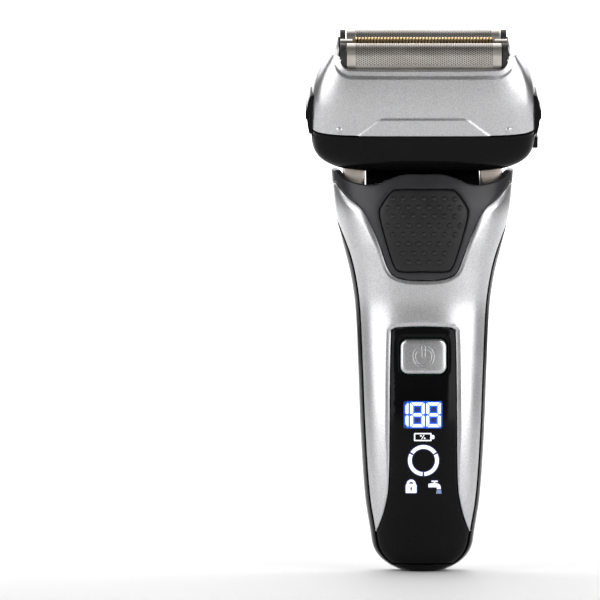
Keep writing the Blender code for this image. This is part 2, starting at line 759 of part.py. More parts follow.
# ---------------------------------------------------------------- long-hair trimmer at the back

TRIMMER = {"half": 13.0, "low": 82.0, "high": 105.0, "depth": 4.5}
TRIMMER_AXIS = (0.0, 15.2, 83.4)
TRIMMER_SWING = 0.5            # room above the trimmer for its swing
BLADE_Y = 11.4                 # outer face of the fixed blade


def trimmer_outline(grow=0.0, swing=0.0):
    middle = (TRIMMER["low"] + TRIMMER["high"] + swing) / 2
    half = (TRIMMER["high"] + swing - TRIMMER["low"]) / 2
    return widened(rounded_box_outline(TRIMMER["half"], half, 2.0, (0.0, middle)), grow)


def hung(bm, place):
    """The solid with its coordinates taken from an empty's place."""
    bmesh.ops.translate(bm, vec=[-value for value in place], verts=bm.verts)
    return bm


def trimmer():
    hinge = axis_empty("trimmer_axis", TRIMMER_AXIS, FRAME)
    piece = add("trimmer_housing", hung(handle_solid(0.0, 70.0, 115.0), TRIMMER_AXIS), "matt_black",
                hinge)
    join(piece, hung(handle_solid(-TRIMMER["depth"], 69.0, 116.0), TRIMMER_AXIS))
    join(piece, hung(slab(trimmer_outline(), 2.0, REACH, "y"), TRIMMER_AXIS), "INTERSECT")
    join(piece, hung(box((-15.0, -5.0, 99.0), (15.0, BLADE_Y, 110.0)), TRIMMER_AXIS))
    blade = box((-11.5, BLADE_Y - GAP - 0.5, 99.3), (11.5, BLADE_Y - GAP, 104.4))
    add("trimmer_blade", hung(blade, TRIMMER_AXIS), "steel", hinge)
    moving = box((-9.8, BLADE_Y - 2 * GAP - 1.0, 99.8), (9.8, BLADE_Y - 2 * GAP - 0.5, 104.1))
    add("trimmer_cutter", hung(moving, TRIMMER_AXIS), "steel", hinge)


# ---------------------------------------------------------------- springs under the cutters

def cutter_springs(head):
    for name, y in (("front", -FOIL_SPACING), ("middle", 0.0), ("rear", FOIL_SPACING)):
        coil = bpy.data.curves.new("cutter_spring_" + name, "CURVE")
        coil.dimensions = "3D"
        coil.bevel_depth = 0.22 * MM
        coil.bevel_resolution = 1
        coil.use_fill_caps = True
        turns, sides, radius = 3, 10, 1.7
        low, high = SEAM + 3.0 + 2 * GAP, SEAM + 9.0 - FLOAT - 2 * GAP
        spline = coil.splines.new("POLY")
        spline.points.add(turns * sides)
        for k, point in enumerate(spline.points):
            angle = 2 * math.pi * k / sides
            z = low + (high - low) * k / (turns * sides)
            point.co = (radius * math.cos(angle) * MM, (y + radius * math.sin(angle)) * MM, z * MM, 1)
        coil.materials.append(material("steel", *FINISHES["steel"]))
        item = bpy.data.objects.new("cutter_spring_" + name, coil)
        PARTS.objects.link(item)
        item.parent = head


# ---------------------------------------------------------------- assembly

def build():
    rear_shell()
    front_frame()
    collar()
    thumb_grip()
    display_window()
    power_button()
    tact_switch()
    display_module()
    main_board()
    board_screws()
    chassis()
    battery_cell()
    charging_socket()
    charging_pins()
    motor()
    motor_mount()
    eccentric()
    top_deck()
    neck_block()
    neck_seal()
    neck_arms()
    trimmer()
    head = axis_empty("head_pivot", (0.0, PIVOT_Y, PIVOT_Z), FRAME, LEAN)
    head_base(head)
    head_lock_lever(head)
    drive_deck(head)
    drive_bridge(head)
    foil_frame(head)
    foil_cassette(head)
    release_buttons(head)
    foil_set(head, "front", -FOIL_SPACING)
    foil_set(head, "rear", FOIL_SPACING)
    comb_set(head)
    cutter_springs(head)


build()
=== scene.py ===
"""Looks of the electric foil shaver: smooth covers, perforated foils, display and studio light.

Lengths are in millimetres until a mesh is made.  The handle's pieces lie in the shaver's own
frame; the head's pieces lie in a leaning frame whose origin is on the head's pivot axis.
"""
import json
import math

import bmesh
import bpy
import numpy as np
from mathutils import Matrix, Vector
from mathutils.geometry import delaunay_2d_cdt


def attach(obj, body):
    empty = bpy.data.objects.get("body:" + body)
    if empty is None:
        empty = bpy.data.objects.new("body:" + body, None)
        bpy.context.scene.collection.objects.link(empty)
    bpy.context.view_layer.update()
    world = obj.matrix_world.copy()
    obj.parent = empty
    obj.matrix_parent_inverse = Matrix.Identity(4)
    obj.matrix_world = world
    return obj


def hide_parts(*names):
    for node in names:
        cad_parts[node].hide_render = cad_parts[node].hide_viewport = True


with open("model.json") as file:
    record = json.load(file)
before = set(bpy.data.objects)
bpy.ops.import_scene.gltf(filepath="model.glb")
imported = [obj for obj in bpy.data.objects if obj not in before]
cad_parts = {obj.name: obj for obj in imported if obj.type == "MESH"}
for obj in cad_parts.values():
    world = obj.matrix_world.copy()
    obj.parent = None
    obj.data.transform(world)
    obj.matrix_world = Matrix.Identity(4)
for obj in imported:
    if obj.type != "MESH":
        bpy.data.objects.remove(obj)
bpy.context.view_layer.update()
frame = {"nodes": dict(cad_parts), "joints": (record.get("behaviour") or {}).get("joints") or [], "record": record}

MM = 0.001
GAP = 0.3
PIVOT = next(joint["pos_m"] for joint in frame["joints"] if joint["name"] == "head_tilt")
LEAN = math.radians(23.0)
PIVOT_Y = -2.3                                   # in the shaver's own frame
CENTRE_Y = PIVOT[1] / MM - PIVOT_Y
HANDLE = Matrix.Translation((0.0, CENTRE_Y * MM, 0.0)) @ Matrix.Scale(MM, 4)
HEAD = Matrix.Translation(PIVOT) @ Matrix.Rotation(LEAN, 4, "X") @ Matrix.Scale(MM, 4)

# Handle: z, half width, front depth, rear depth
HANDLE_STATIONS = np.array([
    (0.0, 14.0, 9.6, 9.8), (10.0, 15.2, 10.8, 11.2), (22.0, 17.1, 12.9, 13.2),
    (40.0, 18.4, 14.3, 14.8), (60.0, 19.25, 14.4, 15.8), (78.0, 20.1, 14.6, 16.0),
    (88.0, 21.5, 16.0, 15.6), (98.0, 24.0, 17.4, 14.6), (108.0, 26.1, 17.6, 13.4),
    (120.0, 27.1, 14.6, 12.0)])
HANDLE_POWER = 2.6
END_POWER = 2.2
END_WIDTH = (-0.6, 9.0)
END_DEPTH = (-6.0, 6.0)
END_HEIGHT = 12.0                                # below this, rows crowd towards the lower end
ROW_POWER = 1.6                                  # how strongly they crowd
WALL = 1.8
MM_PER_T = 24.0                                  # length of one unit of t, roughly
SEAM_INSET = 1.3
SEAM_OPENS = (92.0, 110.0)
WINDOW_FOOT = 1.8
FOOT_CUT = 0.02                                  # the shell starts here and the foot plate fills in
COLLAR_LINE = [(0.0, 85.6), (4.7, 85.8), (8.5, 86.9), (10.6, 89.2), (13.0, 95.8), (15.0, 100.7),
               (17.2, 105.2), (19.3, 107.8), (23.4, 111.2), (26.6, 115.9)]
COLLAR_BACK = 107.6
RIM_LINE = [(0.0, 117.0), (6.6, 116.8), (13.6, 114.2), (17.5, 114.1), (20.9, 114.9),
            (23.6, 116.1), (26.1, 118.5)]
RIM_TIP = 119.2
GRIP_LINE = [(0.0, 112.4), (7.2, 112.4), (9.6, 111.6), (12.4, 107.6), (13.0, 105.4),
             (12.1, 101.0), (9.9, 93.4), (8.4, 89.6), (6.4, 88.3), (0.0, 88.3)]
GRIP_RISE = 0.6
WINDOW_LINE = [(0.0, 72.0), (7.6, 71.7), (9.0, 71.1), (9.5, 69.6), (9.84, 56.0), (9.95, 42.0),
               (10.2, 26.0), (10.9, 20.5), (12.0, 16.2), (13.2, 13.0)]
BUTTON_Z = 63.4
BUTTON_HALF = (7.0, 5.35)
TRIMMER_LOW, TRIMMER_HIGH, TRIMMER_HALF = 82.0, 105.0, 13.0

# Head: height over the seam, half width, half depth
SEAM = 8.0
HEAD_STATIONS = np.array([
    (0.0, 33.2, 14.6), (8.0, 33.0, 14.2), (12.0, 32.5, 13.5), (15.0, 31.7, 12.8),
    (18.5, 30.2, 11.9), (21.0, 28.7, 11.3), (23.0, 27.2, 10.9)])
HEAD_POWER = 5.0
BASE_ROUND = 14.0
BASE_POWER = 3.5
OPENING = (24.9, 10.0)
LIP = 19.5
EAR = 23.0
FOIL_RADIUS = 3.3
FOIL_CENTRE = 22.4
FOIL_SPACING = 6.0
FOIL_HALF = 22.6
FOIL_FOOT = 15.5
CAP_FOOT = 13.6
COMB_RADIUS = 2.1
COMB_CENTRE = 23.4
COMB_HALF = 20.6
END_CAP = 24.5


# ---------------------------------------------------------------- materials

def shader(name, colour, roughness, metallic=0.0, coat=0.0, specular=0.5):
    """New material with its Principled shader; plain values sit on the shader's own sockets."""
    made = bpy.data.materials.new(name)
    made.use_nodes = True
    node = made.node_tree.nodes["Principled BSDF"]
    node.inputs["Base Color"].default_value = (*colour, 1.0)
    node.inputs["Roughness"].default_value = roughness
    node.inputs["Metallic"].default_value = metallic
    node.inputs["Coat Weight"].default_value = coat
    node.inputs["Coat Roughness"].default_value = 0.04
    node.inputs["Specular IOR Level"].default_value = specular
    return made


def object_noise(made, scale, detail=3.0, stretch=(1.0, 1.0, 1.0)):
    """Noise in object space; stretch below 1 draws it out along an axis."""
    tree = made.node_tree
    place = tree.nodes.new("ShaderNodeTexCoord")
    shape = tree.nodes.new("ShaderNodeMapping")
    shape.inputs["Scale"].default_value = stretch
    noise = tree.nodes.new("ShaderNodeTexNoise")
    noise.inputs["Scale"].default_value = scale
    noise.inputs["Detail"].default_value = detail
    tree.links.new(place.outputs["Object"], shape.inputs["Vector"])
    tree.links.new(shape.outputs["Vector"], noise.inputs["Vector"])
    return noise.outputs["Fac"]


def vary_roughness(made, factor, low, high):
    tree = made.node_tree
    reach = tree.nodes.new("ShaderNodeMapRange")
    reach.inputs["From Min"].default_value = 0.3
    reach.inputs["From Max"].default_value = 0.7
    reach.inputs["To Min"].default_value = low
    reach.inputs["To Max"].default_value = high
    tree.links.new(factor, reach.inputs["Value"])
    tree.links.new(reach.outputs["Result"], tree.nodes["Principled BSDF"].inputs["Roughness"])


def vary_colour(made, factor, colours, socket="Base Color"):
    tree = made.node_tree
    ramp = tree.nodes.new("ShaderNodeValToRGB")
    for stop, (position, colour) in zip(ramp.color_ramp.elements, colours):
        stop.position = position
        stop.color = (*colour, 1.0)
    tree.links.new(factor, ramp.inputs["Fac"])
    tree.links.new(ramp.outputs["Color"], tree.nodes["Principled BSDF"].inputs[socket])


def bump(made, factor, strength, height):
    tree = made.node_tree
    node = tree.nodes.new("ShaderNodeBump")
    node.inputs["Strength"].default_value = strength
    node.inputs["Distance"].default_value = height
    tree.links.new(factor, node.inputs["Height"])
    tree.links.new(node.outputs["Normal"], tree.nodes["Principled BSDF"].inputs["Normal"])


def finish(name, colour, roughness, rough, tint, relief=None, **base):
    """Material with noise in its roughness and colour, and in its relief if one is given.

    rough is (noise, low, high), tint (noise, stops) and relief (noise, strength, height); a noise
    is the tuple of values that object_noise takes.
    """
    made = shader(name, colour, roughness, **base)
    vary_roughness(made, object_noise(made, *rough[0]), *rough[1:])
    vary_colour(made, object_noise(made, *tint[0]), tint[1])
    if relief:
        bump(made, object_noise(made, *relief[0]), *relief[1:])
    return made


def stops(first, second, at=(0.3, 0.7)):
    return ((at[0], first), (at[1], second))


def lit(name, colour, strength):
    """Lit part of the display, with the slight unevenness of its light guide."""
    made = shader(name, (0.02, 0.03, 0.05), 0.2)
    node = made.node_tree.nodes["Principled BSDF"]
    node.inputs["Emission Strength"].default_value = strength
    dimmer = tuple(c * 0.86 for c in colour)
    vary_colour(made, object_noise(made, 350.0), stops(dimmer, colour), "Emission Color")
    return made


FLAKE = (2600.0, 2.0)
BRUSHED = (900.0, 4.0, (0.04, 1.0, 1.0))
BRUSHED_FINE = (1600.0, 4.0, (0.05, 1.0, 1.0))
MIDDLING = (0.35, 0.65)
# Blender numbers a name that one of the CAD's own materials already has.
FINISHES = {made.name.partition(".")[0]: made for made in (
    finish("satin_silver", (0.66, 0.66, 0.67), 0.3, ((90.0,), 0.27, 0.33),
           (FLAKE, stops((0.56, 0.56, 0.57), (0.7, 0.7, 0.71), MIDDLING)), (FLAKE, 0.12, 0.00003),
           metallic=1.0),
    finish("dark_satin", (0.03, 0.03, 0.033), 0.34, ((160.0,), 0.3, 0.38),
           ((60.0,), stops((0.024, 0.024, 0.026), (0.036, 0.036, 0.039))),
           ((6000.0, 2.0), 0.12, 0.00003), metallic=0.3, specular=0.45),
    finish("gloss_black", (0.003, 0.003, 0.0035), 0.08, ((70.0,), 0.05, 0.12),
           ((30.0,), stops((0.0022, 0.0022, 0.0026), (0.0045, 0.0045, 0.005))), specular=0.12),
    finish("matt_black", (0.016, 0.016, 0.017), 0.5, ((300.0,), 0.42, 0.56),
           ((120.0,), stops((0.012, 0.012, 0.013), (0.022, 0.022, 0.023))),
           ((4000.0,), 0.3, 0.00004)),
    finish("rubber", (0.008, 0.008, 0.009), 0.45, ((240.0,), 0.4, 0.52),
           ((90.0,), stops((0.006, 0.006, 0.007), (0.011, 0.011, 0.012))),
           ((5200.0,), 0.15, 0.00004), specular=0.4),
    finish("nickel", (0.72, 0.7, 0.67), 0.22, ((120.0,), 0.17, 0.28),
           ((55.0,), stops((0.6, 0.56, 0.51), (0.76, 0.74, 0.71), MIDDLING)), metallic=1.0),
    finish("gold", (0.86, 0.6, 0.24), 0.24, ((200.0,), 0.18, 0.3),
           ((80.0,), stops((0.82, 0.55, 0.2), (0.9, 0.66, 0.3))), metallic=1.0),
    finish("steel", (0.5, 0.5, 0.51), 0.32, (BRUSHED, 0.25, 0.4),
           (BRUSHED, stops((0.44, 0.44, 0.45), (0.57, 0.57, 0.58))), (BRUSHED, 0.15, 0.00003),
           metallic=1.0),
    finish("neck_metal", (0.78, 0.68, 0.6), 0.36, (BRUSHED_FINE, 0.3, 0.44),
           (BRUSHED_FINE, stops((0.7, 0.6, 0.52), (0.86, 0.77, 0.7))),
           (BRUSHED_FINE, 0.2, 0.00003), metallic=0.9),
    finish("board_green", (0.015, 0.15, 0.07), 0.4, ((300.0,), 0.33, 0.5),
           ((500.0, 1.0), stops((0.01, 0.12, 0.05), (0.02, 0.2, 0.09), (0.45, 0.55))), coat=0.3),
    finish("cell_blue", (0.03, 0.12, 0.4), 0.3, ((150.0,), 0.22, 0.38),
           ((60.0,), stops((0.02, 0.1, 0.34), (0.04, 0.15, 0.46))), coat=0.4),
    finish("clear_grey", (0.14, 0.16, 0.18), 0.25, ((220.0,), 0.18, 0.34),
           ((90.0,), stops((0.1, 0.12, 0.14), (0.18, 0.2, 0.22))), coat=0.4),
    finish("foil_nickel", (0.7, 0.66, 0.61), 0.36, ((120.0,), 0.32, 0.42),
           ((55.0,), stops((0.6, 0.55, 0.5), (0.72, 0.69, 0.65), MIDDLING)), metallic=1.0),
    finish("blade_steel", (0.09, 0.085, 0.08), 0.45, (BRUSHED, 0.38, 0.55),
           (BRUSHED, stops((0.06, 0.057, 0.053), (0.12, 0.115, 0.11))), metallic=1.0),
    lit("digit_white", (0.9, 0.96, 1.0), 1.4), lit("digit_pale", (0.45, 0.62, 1.0), 0.8),
    lit("digit_blue", (0.0, 0.12, 1.0), 1.1), lit("digit_haze", (0.003, 0.015, 0.3), 0.4))}


# ---------------------------------------------------------------- pieces

def piece(name, points, faces, place, body, finish, replaced=(), sharp=38.0):
    """Closed mesh from points in millimetres, made smooth and given to a body."""
    bm = bmesh.new()
    verts = [bm.verts.new(place @ Vector(point)) for point in points]
    for face in faces:
        corners = [verts[i] for i in dict.fromkeys(face)]
        if len(corners) > 2 and bm.faces.get(corners) is None:
            bm.faces.new(corners)
    return from_bmesh(name, bm, body, finish, replaced, sharp)


def added(name, data):
    item = bpy.data.objects.new(name, data)
    bpy.context.scene.collection.objects.link(item)
    return item


def from_bmesh(name, bm, body, finish, replaced=(), sharp=38.0):
    bmesh.ops.remove_doubles(bm, verts=bm.verts, dist=2e-7)
    bmesh.ops.dissolve_degenerate(bm, edges=bm.edges, dist=1e-8)
    bmesh.ops.recalc_face_normals(bm, faces=bm.faces)
    mesh = bpy.data.meshes.new(name)
    bm.to_mesh(mesh)
    bm.free()
    mesh.shade_smooth()
    mesh.set_sharp_from_angle(angle=math.radians(sharp))
    item = added(name, mesh)
    mesh.materials.append(FINISHES[finish])
    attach(item, body)
    if replaced:
        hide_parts(*replaced)
    return item


def apply_modifiers(item):
    """Bakes an object's modifiers into its mesh and drops them."""
    graph = bpy.context.evaluated_depsgraph_get()
    mesh = bpy.data.meshes.new_from_object(item.evaluated_get(graph))
    item.modifiers.clear()
    item.data = mesh
    mesh.set_sharp_from_angle(angle=math.radians(38))
    return item


def cut(item, tools):
    """Subtracts bmesh tools, given in world space, from a piece."""
    helpers = []
    for bm in tools:
        bmesh.ops.recalc_face_normals(bm, faces=bm.faces)
        mesh = bpy.data.meshes.new("tool")
        bm.to_mesh(mesh)
        bm.free()
        helper = added("tool", mesh)
        helpers.append(helper)
        change = item.modifiers.new("cut", "BOOLEAN")
        change.operation = "DIFFERENCE"
        change.solver = "EXACT"
        change.object = helper
    apply_modifiers(item)
    for helper in helpers:
        bpy.data.objects.remove(helper, do_unlink=True)


def box(low, high, place):
    bm = bmesh.new()
    bmesh.ops.create_cube(bm, size=1.0)
    for vert in bm.verts:
        vert.co = place @ Vector([(a + b) / 2 + c * (b - a) for a, b, c in zip(low, high, vert.co)])
    return bm


# ---------------------------------------------------------------- surfaces

def between(stations, column, z):
    """Smooth values of one column of the stations at heights z."""
    heights, values = stations[:, 0], stations[:, column]
    slopes = np.gradient(values, heights)
    slopes[1:-1] = (values[2:] - values[:-2]) / (heights[2:] - heights[:-2])
    i = np.clip(np.searchsorted(heights, z, side="right") - 1, 0, len(heights) - 2)
    span = heights[i + 1] - heights[i]
    t = (z - heights[i]) / span
    return ((2 * t ** 3 - 3 * t ** 2 + 1) * values[i] + (t ** 3 - 2 * t ** 2 + t) * span * slopes[i]
            + (3 * t ** 2 - 2 * t ** 3) * values[i + 1] + (t ** 3 - t ** 2) * span * slopes[i + 1])


def rounding(z, limits, power):
    t = np.clip((limits[1] - z) / (limits[1] - limits[0]), 0.0, 1.0)
    return (1.0 - t ** power) ** (1.0 / power)


def handle_sizes(z):
    depth = rounding(z, END_DEPTH, END_POWER)
    return (between(HANDLE_STATIONS, 1, z) * rounding(z, END_WIDTH, END_POWER),
            between(HANDLE_STATIONS, 2, z) * depth, between(HANDLE_STATIONS, 3, z) * depth)


def head_sizes(z):
    height = z - SEAM
    close = rounding(height, (-BASE_ROUND, 0.0), BASE_POWER)
    width = between(HEAD_STATIONS, 1, np.maximum(height, 0.0)) * close
    depth = between(HEAD_STATIONS, 2, np.maximum(height, 0.0)) * close
    return width, depth, depth


class Surface:
    """Closed form round a vertical axis: t is 0 at the front, 1 at +X, 2 at the back, 3 at -X."""

    def __init__(self, power, sizes, crowd=0.0, floor=-1e9):
        angle = np.linspace(0.0, math.pi / 2, 4001)
        self.x = np.sin(angle) ** (2 / power)
        self.y = np.cos(angle) ** (2 / power)
        length = np.concatenate(([0.0], np.cumsum(np.hypot(np.diff(self.x), np.diff(self.y)))))
        self.t = length / length[-1]
        self.sizes = sizes
        self.crowd = crowd
        self.floor = floor

    def height(self, v):
        if not self.crowd:
            return np.asarray(v, float)
        return np.where(v < self.crowd, self.crowd * (np.maximum(v, 0) / self.crowd) ** ROW_POWER, v)

    def row(self, z):
        """v at height z, the inverse of height."""
        if not self.crowd:
            return np.asarray(z, float)
        return np.where(z < self.crowd, self.crowd * (np.maximum(z, 0) / self.crowd) ** (1 / ROW_POWER), z)

    def at(self, t, v, out=0.0):
        t, v = np.broadcast_arrays(np.asarray(t, float), np.asarray(v, float))
        t = (t + 2.0) % 4.0 - 2.0
        z = self.height(v)
        turn = np.abs(t)
        half = np.minimum(turn, 2.0 - turn)
        width, front, back = self.sizes(z)
        x = np.interp(half, self.t, self.x) * np.sign(t) * (width + out)
        y = np.interp(half, self.t, self.y)
        return np.stack([x, np.where(turn <= 1.0, -y * (front + out), y * (back + out)), z], -1)

    def slopes(self, t, v):
        e = 2e-3
        dt = (self.at(t + e, v) - self.at(t - e, v)) / (2 * e)
        dv = (self.at(t, v + 0.03) - self.at(t, np.maximum(v - 0.03, self.floor))) / 0.06
        return dt, dv

    def normal(self, t, v):
        dt, dv = self.slopes(t, v)
        n = np.cross(dt, dv)
        return n / np.linalg.norm(n, axis=-1, keepdims=True)

    def front(self, x, z):
        """(t, v) of a place on the front seen from straight ahead."""
        x, z = np.asarray(x, float), np.asarray(z, float)
        share = np.clip(np.abs(x) / self.sizes(z)[0], 0.0, 1.0)
        return np.sign(x) * np.interp(share, self.x, self.t), self.row(z)


HANDLE_FORM = Surface(HANDLE_POWER, handle_sizes, END_HEIGHT, 0.0)
HEAD_FORM = Surface(HEAD_POWER, head_sizes)


def smoothstep(low, high, value):
    """0 at low, 1 at high, smooth between; low may be above high."""
    t = np.clip((value - low) / (high - low), 0.0, 1.0)
    return t * t * (3 - 2 * t)


def smooth(points, steps=6):
    """Catmull-Rom curve through the points."""
    path = []
    ends = [points[0]] + list(points) + [points[-1]]
    for a, b, c, d in zip(ends, ends[1:], ends[2:], ends[3:]):
        for k in range(steps):
            t = k / steps
            path.append(tuple(
                0.5 * (2 * q + (r - p) * t + (2 * p - 5 * q + 4 * r - s) * t * t
                       + (3 * q - p - 3 * r + s) * t ** 3)
                for p, q, r, s in zip(a, b, c, d)))
    path.append(tuple(points[-1]))
    return path


def mirrored(right):
    """Closed loop from its right half; values after the first are kept as they are."""
    return list(right) + [(-x, *rest) for x, *rest in reversed(right) if abs(x) > 1e-6]


def rounded(half_x, half_z, corner, centre=(0.0, 0.0), steps=6):
    points = []
    for quarter, (sx, sz) in enumerate(((1, 1), (-1, 1), (-1, -1), (1, -1))):
        for k in range(steps + 1):
            angle = math.pi / 2 * (quarter + k / steps)
            points.append((centre[0] + sx * (half_x - corner) + corner * math.cos(angle),
                           centre[1] + sz * (half_z - corner) + corner * math.sin(angle)))
    return points


def inside(points, loops):
    """Even-odd test of 2D points against loops."""
    found = np.zeros(len(points), bool)
    px, py = points[:, 0], points[:, 1]
    for loop in loops:
        following = np.roll(loop, -1, axis=0)
        for (ax, ay), (bx, by) in zip(loop, following):
            crosses = (ay > py) != (by > py)
            if crosses.any():
                edge = ax + (py - ay) * (bx - ax) / (by - ay if by != ay else 1.0)
                found ^= crosses & (px < edge)
    return found


def resampled(loop, spacing, scale):
    """Loop with points added so that no side is longer than the spacing."""
    result = []
    for a, b in zip(loop, loop[1:] + loop[:1]):
        length = math.hypot((b[0] - a[0]) * scale, b[1] - a[1])
        count = max(1, math.ceil(length / spacing))
        result += [[p + (q - p) * k / count for p, q in zip(a, b)] for k in range(count)]
    return np.array(result)


ROUND = [(1 - math.sin(a), 1 - math.cos(a)) for a in np.linspace(0.0, math.pi / 2, 5)]
CHAMFER = [(1.0, 0.0), (0.9, 0.02), (0.14, 0.76), (0.03, 0.92), (0.0, 1.0)]


def sheet_mesh(form, loops, thickness, rise=0.0, edge=0.4, pitch=1.1, rim=ROUND, seam=None,
               relief=None):
    """Points and faces of a sheet on a form, with shaped rims.

    loops are lists of (t, v), outline first and holes after it; (t, v, width, drop) gives a rim
    its own width and depth there.  rim lists the profile as shares of width and depth.  seam holds
    the two t values where a sheet that goes all the way round meets itself.
    """
    borders, seams = [], []
    for index, loop in enumerate(loops):
        loop = [tuple(p) if len(p) == 4 else (*p, edge, edge) for p in loop]
        params = resampled(loop, pitch * 0.8, MM_PER_T)
        following = np.roll(params, -1, axis=0)
        area = np.sum(params[:, 0] * following[:, 1] - following[:, 0] * params[:, 1])
        if (area > 0) != (index == 0):
            params = params[::-1]
        widths, drops, params = params[:, 2:3], params[:, 3:4], params[:, :2]
        t, v = params.T
        on_seam = np.zeros(len(t), bool)
        if seam:
            on_seam = (np.abs(t - seam[0]) < 1e-6) | (np.abs(t - seam[1]) < 1e-6)
        here = form.at(t, v)
        along = np.roll(here, -1, axis=0) - np.roll(here, 1, axis=0)
        along /= np.linalg.norm(along, axis=1, keepdims=True)
        outward = np.cross(along, form.normal(t, v))
        step = np.stack([np.linalg.lstsq(m, o, rcond=None)[0]
                         for m, o in zip(np.stack(form.slopes(t, v), -1), outward)]) * widths
        step[on_seam] = 0.0
        levels = [(params - step * inset, drops * sink) for inset, sink in rim]
        levels += [(params, np.full_like(drops, thickness)), (params - step, drops)]
        borders.append(levels)
        seams.append(on_seam)
    flat = [levels[0][0] * (MM_PER_T, 1.0) for levels in borders]
    low, high = flat[0].min(axis=0), flat[0].max(axis=0)
    cells = np.array([(x + (j % 2) * pitch / 2, v)
                      for j, v in enumerate(np.arange(low[1], high[1], pitch * 0.87))
                      for x in np.arange(low[0], high[0], pitch)])
    cells = cells[inside(cells, flat)]
    border = np.concatenate(flat)
    if len(cells):
        near = np.array([np.min(np.hypot(*(border - cell).T)) for cell in cells])
        cells = cells[near > pitch * 0.5]
    edges, offset = [], 0
    for ring in flat:
        edges += [(offset + k, offset + (k + 1) % len(ring)) for k in range(len(ring))]
        offset += len(ring)
    made = delaunay_2d_cdt([Vector(p) for p in (*border, *cells)], edges, [], 0, 1e-7)
    corners = np.array([tuple(p) for p in made[0]])
    triangles = np.array([face for face in made[2] if len(face) == 3])
    triangles = triangles[inside(corners[triangles].mean(axis=1), flat)]
    lookup = {source: new for new, sources in enumerate(made[3]) for source in sources}

    def spot(params, depth):
        t, v = params.T
        base = form.at(t, v)
        lift = rise - np.broadcast_to(np.reshape(depth, (-1, 1)), (len(t), 1))
        if relief is not None:
            lift = lift + np.where(lift > rise - thickness, relief(base)[:, None], 0.0)
        return base + form.normal(t, v) * lift

    count = len(corners)
    params = corners / (MM_PER_T, 1.0)
    points = [*spot(params, 0.0), *spot(params, thickness)]
    faces = []
    for a, b, c in triangles:
        faces += [(a, b, c), (c + count, b + count, a + count)]
    offset = 0
    for levels, on_seam in zip(borders, seams):
        size = len(on_seam)
        first = [lookup[offset + k] for k in range(size)]
        rows = [first]
        for moved, depth in levels[1:-1]:
            rows.append(list(range(len(points), len(points) + size)))
            points += list(spot(moved, depth))
        rows.append([k + count for k in first])
        for above, under in zip(rows, rows[1:]):
            for k in range(size):
                n = (k + 1) % size
                if not (on_seam[k] and on_seam[n]):
                    faces.append((above[k], under[k], under[n], above[n]))
        offset += size
    return points, faces


def sheet(name, form, place, loops, thickness, body, finish, replaced=(), sharp=38.0, **more):
    points, faces = sheet_mesh(form, loops, thickness, **more)
    return piece(name, points, faces, place, body, finish, replaced, sharp)


# ---------------------------------------------------------------- handle

def on_front(outline):
    t, v = HANDLE_FORM.front(*np.array(outline).T)
    return list(zip(t.tolist(), v.tolist()))


def front_half_width(z):
    """Half width of the front covers' area, seen from the front."""
    width = float(handle_sizes(np.array([z]))[0][0])
    return width - SEAM_INSET + smoothstep(*SEAM_OPENS, z) * (SEAM_INSET + 0.6)


def side_line(low, high, inset, steps):
    """Front seam on the right from low to high, as (t, v)."""
    heights = np.linspace(low, high, steps)
    t, v = HANDLE_FORM.front([front_half_width(z) - inset for z in heights], heights)
    return list(zip(np.minimum(t, 1.0 - inset / MM_PER_T).tolist(), v.tolist()))


def offset_line(line, distance):
    """Open line moved to its left by a distance."""
    points = np.array(line)
    along = np.gradient(points, axis=0)
    along /= np.linalg.norm(along, axis=1, keepdims=True)
    return [tuple(p) for p in points + np.stack([-along[:, 1], along[:, 0]], -1) * distance]


def bevelled(path, width, slope):
    """(t, v) path with the width of its bevel at each height, and the bevel's depth."""
    return [(t, v, width(v), width(v) * slope) for t, v in path]


def collar_bevel(z):
    return (0.3 + 0.75 * smoothstep(114.5, 111.0, z)
            + 0.95 * smoothstep(94.0, 106.0, z) * smoothstep(114.0, 109.5, z))


def window_bevel(z):
    return 0.35 + 0.95 * smoothstep(22.0, 44.0, z)


def front_frame():
    top = on_front([(max(x, 0.0), z) for x, z in offset_line(smooth(COLLAR_LINE), -GAP / 2)])
    top = bevelled([p for p in top if p[1] < 114.9], collar_bevel, 0.42)
    side = bevelled(side_line(11.6, 114.9, GAP / 2, 110)[::-1], lambda z: 0.3, 1.0)
    window = offset_line(smooth(WINDOW_LINE), GAP / 2)[::-1]
    window = bevelled(on_front([(max(x, 0.0), z) for x, z in window]), window_bevel, 0.5)
    sheet("front_frame_satin", HANDLE_FORM, HANDLE, [mirrored(top + side + window)], WALL,
          "handle", "satin_silver", ["front_frame"], rim=CHAMFER, pitch=0.9, sharp=50.0)


def display_window():
    sides = on_front([(max(x, 0.0), z) for x, z in offset_line(smooth(WINDOW_LINE), -GAP / 2)])
    foot = side_line(WINDOW_FOOT + GAP, 12.2, GAP, 24)[::-1]
    hole = on_front(rounded(BUTTON_HALF[0] + GAP, BUTTON_HALF[1] + GAP, 2.5, (0.0, BUTTON_Z)))
    sheet("display_window_gloss", HANDLE_FORM, HANDLE, [mirrored(sides + foot), hole], 1.5,
          "handle", "gloss_black", ["display_window"], rise=-0.15, edge=0.3, pitch=1.0)


def power_button():
    outline = [(x * (1 - 0.035 * ((z - BUTTON_Z) / BUTTON_HALF[1]) ** 2),
                BUTTON_Z + (z - BUTTON_Z) * (1 - 0.04 * (x / BUTTON_HALF[0]) ** 2))
               for x, z in rounded(*BUTTON_HALF, 2.2, (0.0, BUTTON_Z), 8)]
    loop = on_front([tuple(p) for p in resampled(outline, 0.6, 1.0)])
    sheet("power_button_cap", HANDLE_FORM, HANDLE, [loop], 2.2, "power_button", "satin_silver",
          ["power_button"], rise=0.5, edge=0.95, pitch=0.6)


